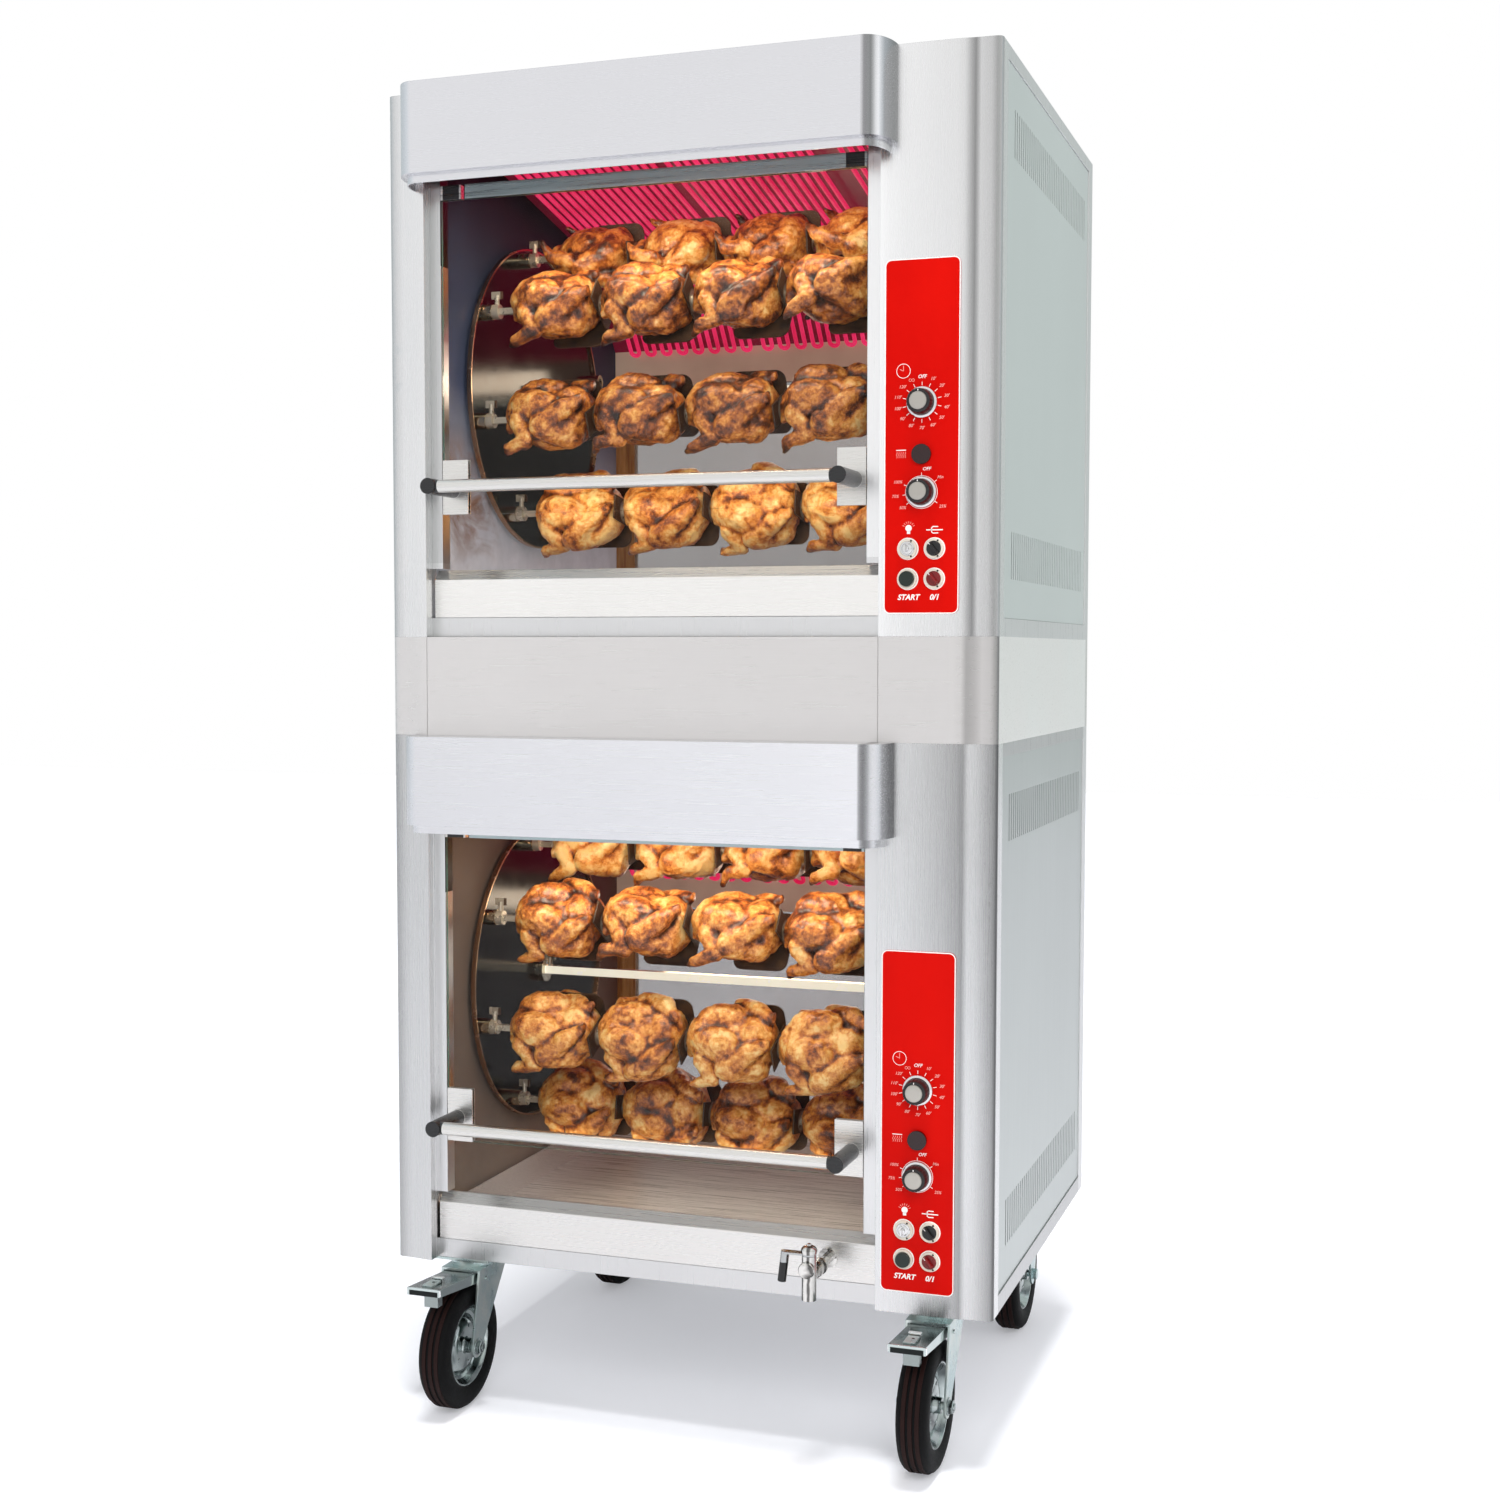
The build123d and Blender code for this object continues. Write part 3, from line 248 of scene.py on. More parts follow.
def paint_reflection_bands(f, low, high):
    """Painted reflection bands of light and dark across bent sheet, as (x in millimetres, tone) pairs for
    each machine.

    A ramp's colours end at 1, so the tone values go in divided by LIFT, and steel multiplies by it again.
    """
    made = []
    for stops in (low, high):
        first, last = stops[0][0], stops[-1][0]
        place = f.span(f.axis("x"), P(first, 0, 0).x, P(last, 0, 0).x)
        made.append(f.ramp(place, [((x - first) / (last - first), grey(tone / LIFT)) for x, tone in stops]))
    return f.blend(f.between(f.axis("z"), 1.17, 3.0), *made)


def steel(name, colour, rough, grain, edge=0.0012, streak=0.05, relief=0.05, cloud=0.05, painted_reflections=None,
          painted_side_light=1.0, painted_light_zones=(), dull=None):
    """Brushed or polished metal: fine grain, slow clouds and slightly rounded edges. Returns the material.

    Boxes in the zone list scale the colour by a tone as painted light or shade; the band tables paint
    reflection bands across the front faces, and the side tone is painted light on the faces behind them; dull
    is a box where the metal is greasy and matt.
    """
    f = Finish(name)
    fine = f.noise(grain, 4.0, 0.6)
    broad = f.noise((2.3, 2.3, 1.3))
    tint = f.shade(f.shade(colour, fine, 1.0 - streak), broad, 1.0 - cloud)
    if painted_reflections:
        # painted reflection bands on the front faces; the faces behind them take the painted side light
        front = f.span(f.axis("y"), P(0, 14, 0).y, P(0, 15, 0).y, 1.0, 0.0)
        tint = f.blend(1.0, tint, f.blend(front, grey(painted_side_light / LIFT), paint_reflection_bands(f, *painted_reflections)), "MULTIPLY")
        tint = f.tone(tint, 1.0, LIFT)
    # painted light and shade: each box scales the colour by its tone
    for low, high, tone in painted_light_zones:
        tint = f.tone(tint, f.box(low, high), tone)
    polish = f.minus(1.0, f.times(f.box(*dull), 0.5)) if dull else 1.0
    return f.set(Base_Color=tint, Metallic=polish, Roughness=f.vary(fine, rough - 0.04, rough + 0.06),
                 Normal=f.bump(fine, relief, 0.0004, edge))


VERTICAL = (520, 520, 7)
ALONG_X = (7, 520, 520)
# Painted reflection bands for the pillars, hoods and spacer: x in millimetres and tone, LOW for the lower
# machine and HIGH for the upper
PILLAR_LOW = [(0, 0.52), (9, 0.62), (19, 0.76), (29, 0.83), (63, 0.83), (811, 0.93), (850, 0.88),
              (880, 0.78), (910, 0.66), (934, 0.52), (939, 0.40), (943, 0.62), (948, 0.84), (960, 0.78),
              (972, 0.62), (983, 0.46), (987, 0.36), (990, 0.12)]
PILLAR_HIGH = [(0, 0.62), (5, 0.75), (15, 0.90), (25, 1.02), (64, 1.03), (811, 1.25), (822, 1.18),
               (850, 1.10), (925, 1.0), (937, 0.92), (945, 0.58), (952, 0.36), (959, 0.84), (974, 0.76),
               (983, 0.50), (990, 0.66)]
HOOD_LOW = [(38, 0.34), (42, 0.44), (46, 0.64), (50, 0.80), (58, 0.94), (66, 1.04), (700, 1.14),
            (798, 1.18), (800, 0.42), (806, 0.32), (810, 0.46), (813, 0.66), (816, 1.0), (823, 1.02),
            (827, 0.9), (831, 0.7), (834, 0.4), (837, 0.2)]
HOOD_HIGH = [(38, 0.60), (45, 0.84), (56, 0.97), (70, 1.0), (798, 1.0), (801, 0.52), (804, 0.32),
             (808, 0.46), (811, 0.28), (815, 0.56), (817, 1.22), (819, 0.86), (822, 1.25), (826, 0.68),
             (835, 0.46), (837, 0.36)]
SPACER_BANDS = [(0, 0.80), (8, 0.9), (64, 0.92), (925, 0.88), (936, 0.82), (944, 0.52), (955, 0.60),
                (967, 0.78), (979, 0.72), (986, 0.5), (990, 0.3)]
BELOW, ABOVE = ((-9, -99, 0), (999, 799, 1100)), ((-9, -99, 1247), (999, 799, 2200))
# Painted light and shade on the case: a painted highlight on the right jamb, painted shade on the upper left
# jamb and the lower rail, black painted shadow on each left jamb's inside face near the top, and painted
# shade on the lower machine's right side.
case = steel("case_steel", rgb(226, 226, 226), 0.30, VERTICAL, streak=0.025, relief=0.02, painted_light_zones=[
    ((786, 0, 1370), (812, 46, 2100), 1.22), ((63, 0, 1370), (84, 46, 2100), 0.84),
    ((63, 0, 240), (812, 46, 275), 0.90), ((82.6, 10, 1840), (84, 46, 2100), 0.05),
    ((82.6, 10, 840), (84, 46, 1100), 0.05), ((988, 44, 0), (999, 799, 1100), 0.74),
])
# the pillars and hoods carry painted reflection bands
pillar = steel("pillar_steel", rgb(231, 231, 231), 0.26, VERTICAL, streak=0.02, relief=0.015,
               painted_reflections=(PILLAR_LOW, PILLAR_HIGH))
hood = steel("hood_steel", rgb(226, 226, 229), 0.24, ALONG_X, streak=0.01, relief=0.008, cloud=0.02,
             painted_reflections=(HOOD_LOW, HOOD_HIGH))
# The spacer's faces behind the front get painted side light, and its rear edge painted shade.
spacer = steel("spacer_steel", rgb(237, 234, 232), 0.30, ALONG_X, streak=0.025, relief=0.02,
               painted_reflections=(SPACER_BANDS, SPACER_BANDS), painted_side_light=1.25,
               painted_light_zones=[((-9, 765, 1000), (999, 799, 1300), 0.72)])
louvre = steel("louvre_steel", rgb(250, 252, 251), 0.34, (520, 520, 5), streak=0.03, relief=0.02)
# painted shade darkens the lower machine's side panels
side = steel("side_steel", rgb(226, 232, 230), 0.34, (520, 520, 5), streak=0.03, relief=0.02, cloud=0.05,
             painted_light_zones=[(*BELOW, 0.74)])
# Painted light on the upper machine's drawer and painted shade on both drawer lips.
drawer = steel("drawer_steel", rgb(228, 226, 223), 0.28, ALONG_X, streak=0.02, relief=0.015, painted_light_zones=[
    (*ABOVE, 1.22), ((60, 24, 1343.5), (820, 40.5, 1365), 0.56), ((60, 24, 331.5), (820, 40.5, 352), 0.62),
], dull=((60, 40.5, 240), (820, 799, 2200)))


def spit_finish(name, y, z):
    """Bright bars and collars; the wide fork plates are browned by the heat."""
    f = Finish(name)
    spots = f.noise(35, 4.0, 0.65)
    fine = f.noise((9, 600, 600))
    burnt = f.blend(f.span(spots, 0.35, 0.68), rgb(50, 35, 25), rgb(92, 66, 44))
    plate = f.span(f.reach(y, z), 0.0135, 0.02)
    tint = f.blend(plate, rgb(206, 196, 176), burnt)
    middle = f.slab("x", 110.5, 778.5)
    tint = f.blend(middle, rgb(206, 196, 176), tint)
    plate = f.times(plate, middle)
    return f.set(Base_Color=f.shade(tint, fine, 0.86), Metallic=f.span(plate, 0.0, 1.0, 0.6, 0.1),
                 Roughness=f.plus(f.vary(spots, 0.2, 0.4), f.times(plate, 0.3)),
                 Normal=f.bump(spots, 0.1, 0.0006, 0.0006))


def zinc_finish():
    f = Finish("zinc_plate")
    cloud = f.noise((26, 26, 18), 4.0, 0.6)
    fine = f.noise(260, 2.0)
    tint = f.blend(f.span(cloud, 0.35, 0.68), rgb(178, 200, 201), rgb(214, 219, 214))
    tint = f.shade(tint, fine, 0.93)
    return f.set(Base_Color=tint, Metallic=1.0, Roughness=f.vary(cloud, 0.22, 0.36),
                 Normal=f.bump(fine, 0.06, 0.0005, 0.0012))


def painted_mirror_finish(name, dark, pale, letter, stops, rough, patches=()):
    """Bright plating with a painted reflection of the dark room, banded by the way each face turns in the
    model's frame; patches are boxes of painted shade.
    """
    f = Finish(name)
    cloud = f.noise(22, 3.0, 0.5, 0.8)
    fine = f.noise(300, 2.0)
    look = f.plus(f.axis(letter, "Normal"), f.vary(cloud, -0.22, 0.22))
    share = f.ramp(f.span(look, -1.0, 1.0), [((at + 1) / 2, grey(tone)) for at, tone in stops])
    tint = f.blend(share, dark, pale)
    for low, high, tone in patches:
        tint = f.tone(tint, f.box(low, high), tone)
    return f.set(Base_Color=f.shade(tint, fine, 0.95), Metallic=1.0,
                 Roughness=f.vary(fine, rough, rough + 0.05), Normal=f.bump(fine, 0.03, 0.0003, 0.0008))


def lever_finish(pale):
    """A bright arm whose hanging grip is black."""
    f = Finish("tap_lever")
    fine = f.noise(300, 2.0)
    grip = f.times(f.between(f.axis("x"), -1.0, P(703, 0, 0).x), f.between(f.axis("z"), 0.0, 0.325))
    return f.set(Base_Color=f.shade(f.blend(grip, pale, rgb(16, 16, 17)), fine, 0.9),
                 Metallic=f.minus(1.0, grip), Roughness=f.vary(fine, 0.16, 0.26),
                 Normal=f.bump(fine, 0.04, 0.0003, 0.0008))


def plastic(name, colour, rough=0.35, grain=900):
    f = Finish(name)
    fine = f.noise(grain, 2.0)
    wear = f.noise(40)
    return f.set(Base_Color=f.shade(colour, wear, 0.85), Roughness=f.vary(wear, rough, rough + 0.1),
                 Normal=f.bump(fine, 0.1, 0.0002, 0.0006))


def red_finish():
    f = Finish("red_panel")
    peel = f.noise(260, 2.0)
    cloud = f.noise((9, 9, 4))
    tint = f.blend(f.vary(cloud), rgb(196, 5, 0), rgb(210, 10, 1))
    return f.set(Base_Color=tint, Roughness=f.vary(cloud, 0.4, 0.48), Specular_IOR_Level=0.08,
                 Normal=f.bump(peel, 0.03, 0.0003, 0.0006))


def print_finish(name, colour):
    f = Finish(name)
    wear = f.noise(300)
    return f.set(Base_Color=f.shade(colour, wear, 0.93), Roughness=0.5)


def heater_finish():
    """Glowing tubes with pale ceramic terminal blocks at the front."""
    f = Finish("heater_tubes")
    block = f.slab("y", 180, 200.2)
    along = f.noise(14)
    fine = f.noise(160, 2.0)
    glow = f.blend(f.span(along, 0.3, 0.72), rgb(204, 20, 70), rgb(232, 46, 100))
    return f.set(Base_Color=f.blend(block, f.shade(rgb(90, 20, 40), fine, 0.8), rgb(222, 214, 200)),
                 Roughness=0.5, Emission_Color=glow, Emission_Strength=f.minus(1.0, block),
                 Normal=f.bump(fine, 0.1, 0.0003))


def reflector_finish():
    """Dark red with a painted glow, standing in for the light of the tubes; warm grey with a fainter painted
    glow on the upright panel below them.
    """
    f = Finish("heater_reflector")
    upright = f.slab("y", 762.7, 780)
    cloud = f.noise(7)
    fine = f.noise((6, 500, 500))
    lit = f.blend(f.vary(cloud), rgb(84, 10, 30), rgb(112, 15, 42))
    warm = f.blend(f.vary(cloud), rgb(176, 156, 134), rgb(202, 184, 160))
    # the dark red and the glow are painted light from the tubes; the upright panel glows more faintly
    return f.set(Base_Color=f.blend(upright, lit, warm), Roughness=f.vary(fine, 0.38, 0.5),
                 Metallic=f.times(upright, 0.2), Emission_Color=f.blend(upright, lit, warm),
                 Emission_Strength=f.minus(0.5, f.times(upright, 0.22)),
                 Normal=f.bump(fine, 0.05, 0.0004))


def rear_frame_finish():
    """Pale sheets, with posts browned by the heat on their inner side, where a faint painted glow is added.
    """
    f = Finish("rear_frame_steel")
    fine = f.noise(VERTICAL, 4.0, 0.6)
    stain = f.noise((90, 30, 6), 4.0, 0.6)
    inner = f.times(f.slab("y", 760, 782.5), f.slab("x", 20, 970))
    brown = f.blend(f.vary(stain), rgb(112, 66, 26), rgb(188, 140, 84))
    tint = f.blend(inner, rgb(226, 226, 226), brown)
    # the emission on the posts' inner side is a painted glow
    return f.set(Base_Color=f.shade(tint, fine, 0.95), Metallic=f.minus(1.0, f.times(inner, 0.8)),
                 Roughness=f.vary(fine, 0.28, 0.38), Normal=f.bump(fine, 0.02, 0.0004, 0.0012),
                 Emission_Color=tint, Emission_Strength=f.times(inner, 0.12))


def wall_finish():
    """Cavity walls: painted shade darkens them towards the top, the upper machine's walls get a painted glow,
    and the lower machine's walls are brown and greasy.
    """
    f = Finish("cavity_steel")
    z = f.axis("z")
    streak = f.noise((12, 12, 1.5), 4.0, 0.6)
    spots = f.noise(45, 4.0, 0.65)
    lift = f.plus(z, f.vary(streak, -0.02, 0.02))
    # painted shade: both machines' walls darken towards the top, the upper machine's to near black
    low = f.ramp(f.span(lift, 0.27, 1.06), [
        (0.0, rgb(166, 154, 142)), (0.3, rgb(126, 112, 102)), (1.0, rgb(74, 62, 54))])
    high = f.ramp(f.span(lift, 1.36, 2.04), [
        (0.0, rgb(206, 208, 214)), (0.45, rgb(72, 80, 104)), (1.0, rgb(4, 7, 14))])
    upper = f.between(z, 1.2, 3.0)
    tint = f.blend(upper, low, high)
    stain = f.noise((9, 9, 14), 4.0, 0.6, 0.8, (3, 1, 0))
    near = f.times(f.slab("x", 60, 70), f.between(z, 1.412, 1.552, 0.05))
    near = f.times(near, f.slab("y", 40, 240, 0.05))
    tint = f.blend(f.times(near, f.span(stain, 0.42, 0.6)), tint, rgb(122, 78, 36))
    tint = f.shade(tint, spots, 0.88, 0.35)
    # the upper machine's walls glow with a painted light, strongest low down
    return f.set(Base_Color=tint, Metallic=0.1, Roughness=f.vary(spots, 0.4, 0.55), Specular_IOR_Level=0.07,
                 Emission_Color=tint, Emission_Strength=f.times(upper, f.span(z, 1.36, 1.75, 0.3, 0.05)),
                 Normal=f.bump(streak, 0.05, 0.0006))


def rotor_finish(name, base):
    """Polished discs painted near black for the dark cavity they mirror, with a painted warm highlight on the
    rim; the sockets are bright, and the bar's front strip glows as a painted highlight.
    """
    f = Finish(name)
    radius = f.reach(ROTOR_Y, base + ROTOR_UP)
    middle = f.slab("x", 77.3, 811.7)
    rim = f.between(radius, 0.2565, 0.3)
    streak = f.noise((60, 60, 5), 4.0, 0.6)
    spots = f.noise(30, 4.0, 0.65)
    # painted reflection: the polished disc is near black for the dark cavity it mirrors
    disc = f.blend(f.span(spots, 0.35, 0.68), rgb(33, 30, 28), rgb(47, 42, 38))
    socket = f.between(radius, 0.22, 0.256)
    bar = f.between(radius, -1.0, 0.0105)
    tint = f.blend(middle, disc, f.blend(socket, rgb(226, 218, 198), rgb(212, 202, 176)))
    # painted highlight: a warm lit rim
    tint = f.blend(rim, tint, rgb(190, 154, 124))
    tint = f.shade(tint, streak, 0.86)
    # painted highlight: the lit front strip of the centre bar glows
    bright = f.times(f.times(bar, middle), f.slab("y", 370, 377.4))
    flat = f.times(f.minus(1.0, middle), f.vary(spots, -0.09, -0.11))
    return f.set(Base_Color=tint, Metallic=f.minus(1.0, f.times(bright, 0.7)),
                 Roughness=f.plus(f.vary(spots, 0.2, 0.3), flat),
                 Emission_Color=rgb(255, 250, 228), Emission_Strength=f.times(bright, 0.75),
                 Normal=f.bump(streak, 0.05, 0.0004, 0.0006))


def clear_glass(name, strength=0.035):
    """A clear pane: nearly all see-through on its faces, green on its cut edges."""
    f = Finish(name)
    face = f.between(f.math("ABSOLUTE", f.axis("y", "Normal")), 0.7, 2.0)
    smear = f.noise((5, 5, 3), 4.0, 0.6)
    return f.set(Base_Color=f.blend(face, rgb(92, 132, 122), rgb(40, 44, 44)), Roughness=0.04,
                 Alpha=f.blend(face, (0.75, 0.75, 0.75, 1), f.vary(smear, strength * 0.6, strength * 1.4)))


def fixed_glass_finish():
    """Rear windows tinted grey and half see-through, the grey partly painted shade of the view behind them;
    clear front guards.
    """
    f = Finish("fixed_glass")
    rear = f.slab("y", 767, 790)
    smear = f.noise((4, 4, 3), 4.0, 0.6)
    grey = f.blend(f.vary(smear), rgb(132, 130, 127), rgb(150, 147, 142))
    # the rear grey is partly the glass's tint and partly painted shade
    tint = f.blend(rear, rgb(60, 62, 60), grey)
    alpha = f.blend(rear, f.vary(smear, 0.03, 0.07), f.vary(smear, 0.46, 0.5))
    return f.set(Base_Color=tint, Roughness=f.vary(smear, 0.05, 0.12), Alpha=alpha)


def hardware_finish(name, base):
    """Door rail, clamps and handle bar, with black standoffs."""
    f = Finish(name)
    fine = f.noise((6, 520, 520), 4.0, 0.6)
    rail = f.times(f.slab("z", base + 600, base + 800), f.slab("x", 123, 900))
    ends = f.plus(f.slab("x", 88, 117), f.slab("x", 753, 782))
    post = f.times(f.slab("y", -70, 19.6), ends)
    tint = f.blend(rail, rgb(228, 226, 222), rgb(176, 190, 192))
    tint = f.shade(tint, fine, 0.93)
    return f.set(Base_Color=f.blend(post, tint, rgb(26, 26, 27)), Metallic=f.minus(1.0, post),
                 Roughness=f.vary(fine, 0.24, 0.34), Normal=f.bump(fine, 0.05, 0.0004, 0.001))


def bezel_finish():
    """Pale switch bezels and the dark pilot lenses."""
    f = Finish("bezel_plastic")
    fine = f.noise(120)
    pilot = f.plus(*(f.slab("z", base + 245, base + 285) for base in BASES.values()))
    tint = f.blend(pilot, rgb(224, 214, 198), rgb(34, 4, 6))
    return f.set(Base_Color=f.shade(tint, fine, 0.9), Roughness=f.span(pilot, 0, 1, 0.38, 0.18),
                 Normal=f.bump(fine, 0.04, 0.0002, 0.001))


def skin_finish():
    """Roast skin: golden to charred, glossy with fat, with the painted shade of each bird's folds, hollows
    and underside.
    """
    f = Finish("roast_skin")
    roast_and_shade = f.node("ShaderNodeAttribute", attribute_name="roast_and_shade").outputs["Fac"]
    patches = f.noise(55, 5.0, 0.62, 0.6)
    fine = f.noise(240, 4.0, 0.6)
    pores = f.cells(330)
    tone = f.plus(roast_and_shade, f.span(patches, 0.25, 0.75, -0.3, 0.3))
    tone = f.plus(tone, f.span(fine, 0.25, 0.75, -0.14, 0.14))
    tint = f.ramp(tone, [
        (0.0, rgb(246, 206, 134)), (0.2, rgb(232, 166, 84)), (0.38, rgb(206, 126, 52)),
        (0.54, rgb(158, 84, 34)), (0.72, rgb(96, 48, 22)), (1.0, rgb(38, 21, 14))])
    height = f.plus(f.times(fine, 0.7), f.times(pores, 0.3))
    return f.set(Base_Color=tint, Roughness=f.vary(fine, 0.3, 0.5), Coat_Weight=0.35, Coat_Roughness=0.22,
                 Subsurface_Weight=0.06, Subsurface_Radius=(0.006, 0.003, 0.0015), Subsurface_Scale=0.5,
                 Normal=f.bump(height, 0.5, 0.0011))


def tyre_finish():
    """Black rubber sides with a brownish worn tread."""
    f = Finish("tyre_rubber")
    worn = f.node("ShaderNodeAttribute", attribute_name="tread").outputs["Fac"]
    fine = f.noise(320, 4.0, 0.6)
    cloud = f.noise(30, 4.0)
    tint = f.blend(worn, rgb(7, 7, 8), rgb(38, 21, 19))
    return f.set(Base_Color=f.shade(tint, cloud, 0.75), Roughness=f.vary(fine, 0.55, 0.7),
                 Specular_IOR_Level=0.14, Normal=f.bump(fine, 0.2, 0.0004))


def cast_finish():
    f = Finish("cast_metal")
    fine = f.noise(400, 4.0, 0.6)
    return f.set(Base_Color=f.shade(rgb(128, 130, 130), fine, 0.8), Metallic=0.8,
                 Roughness=f.vary(fine, 0.42, 0.56), Normal=f.bump(fine, 0.3, 0.0005, 0.001))


zinc = zinc_finish()
red = red_finish()
white_print = print_finish("white_print", rgb(250, 246, 242))
faint_print = print_finish("faint_print", rgb(244, 168, 158))
black = plastic("black_plastic", rgb(20, 20, 21), 0.3)
dark_red = plastic("red_plastic", rgb(118, 10, 14), 0.25)
dark_green = plastic("green_plastic", rgb(10, 28, 20), 0.25)
cream = plastic("bezel_cream", rgb(226, 216, 200), 0.35)
satin = steel("knob_cap", rgb(190, 186, 178), 0.34, (300, 300, 300), edge=0.0005)
chrome = steel("chrome_trim", rgb(226, 226, 226), 0.1, (300, 300, 300), edge=0.0006, streak=0.03)
catch = steel("catch_steel", rgb(246, 248, 248), 0.2, (300, 300, 300), edge=0.0006, streak=0.02)
# Painted reflections: the tap, the pedals and the wheel rims are banded dark and pale by the way their faces
# turn.
tap_chrome = painted_mirror_finish("tap_chrome", rgb(52, 50, 48), rgb(232, 230, 226), "x", [
    (-1.0, 0.15), (-0.75, 0.3), (-0.5, 0.95), (-0.1, 1.0), (0.1, 0.1), (0.3, 0.2), (0.45, 0.9),
    (1.0, 0.5)], 0.08)
# Painted shade: near black below each pedal's rolled front edge, darker below its stamped plate.
PEDAL_SHADE = [((x - 25, -101, 214), (x + 25, -97, 224.2), 0.04) for x in CASTER_X.values()]
PEDAL_SHADE += [((x - 12.5, -76, 188), (x + 12.5, -59, 222), 0.55) for x in CASTER_X.values()]
pedal_zinc = painted_mirror_finish("pedal_zinc", rgb(40, 44, 44), rgb(204, 216, 214), "z", [
    (-1.0, 0.2), (-0.4, 0.9), (0.3, 1.0), (0.6, 0.55), (0.85, 0.0), (1.0, 0.22)], 0.14, PEDAL_SHADE)
rim_zinc = painted_mirror_finish("rim_zinc", rgb(14, 34, 44), rgb(206, 216, 214), "y", [
    (-1.0, 0.9), (-0.6, 0.2), (-0.25, 0.9), (0.0, 0.75), (0.2, 0.1), (0.4, 0.9), (0.8, 0.3), (1.0, 1.0)], 0.1)
skin = skin_finish()
rubber = tyre_finish()
cast = cast_finish()
# near black, painted as the shade inside the bezel notches and a hole in each pedal's stamped plate
painted_hole_shade = plastic("painted_hole_shade", rgb(16, 16, 17), 0.6)


PAINT = {
    "cabinet_frame": case, "rear_frame": rear_frame_finish(), "front_pillars": pillar, "side_panels": side,
    "spacer_band": spacer, "hoods": hood, "cavity_walls": wall_finish(), "heating_elements": heater_finish(),
    "heater_reflectors": reflector_finish(), "fixed_glass": fixed_glass_finish(), "control_panels": red,
    "switch_bezels": bezel_finish(), "drive_units": cast, "caster_mounts": zinc, "tap_body": tap_chrome,
    "tap_lever": lever_finish(rgb(186, 188, 188)),
}
glass = clear_glass("door_glass")
for module, base in BASES.items():
    PAINT[f"{module}_rotor"] = rotor_finish(f"{module}_rotor_steel", base)
    PAINT[f"{module}_door_glass"] = glass
    PAINT[f"{module}_door_hardware"] = hardware_finish(f"{module}_door_steel", base)
    PAINT[f"{module}_drip_drawer"] = drawer
    for part, finish in (("light_key", chrome), ("spit_selector", black), ("main_selector", dark_red),
                         ("start_button", dark_green), ("timer_knob", black), ("power_knob", black)):
        PAINT[f"{module}_{part}"] = finish
    for number in range(1, 5):
        bars = spit_finish(f"{module}_spit_steel_{number}", *spit_place(base, number))
        PAINT[f"{module}_spit_{number}"] = bars
        PAINT[f"{module}_chickens_{number}"] = skin
for hand in CASTER_X:
    PAINT[f"front_{hand}_caster_fork"] = zinc
    PAINT[f"front_{hand}_brake_pedal"] = pedal_zinc
    PAINT[f"front_{hand}_wheel"] = rubber
    PAINT[f"rear_{hand}_wheel"] = rubber
for name, finish in PAINT.items():
    for slot in NODES[name].material_slots:
        slot.material = finish


# Shapes


def band_faces(count):
    """Faces between an outer and an inner ring of points."""
    return [(i, (i + 1) % count, count + (i + 1) % count, count + i) for i in range(count)]


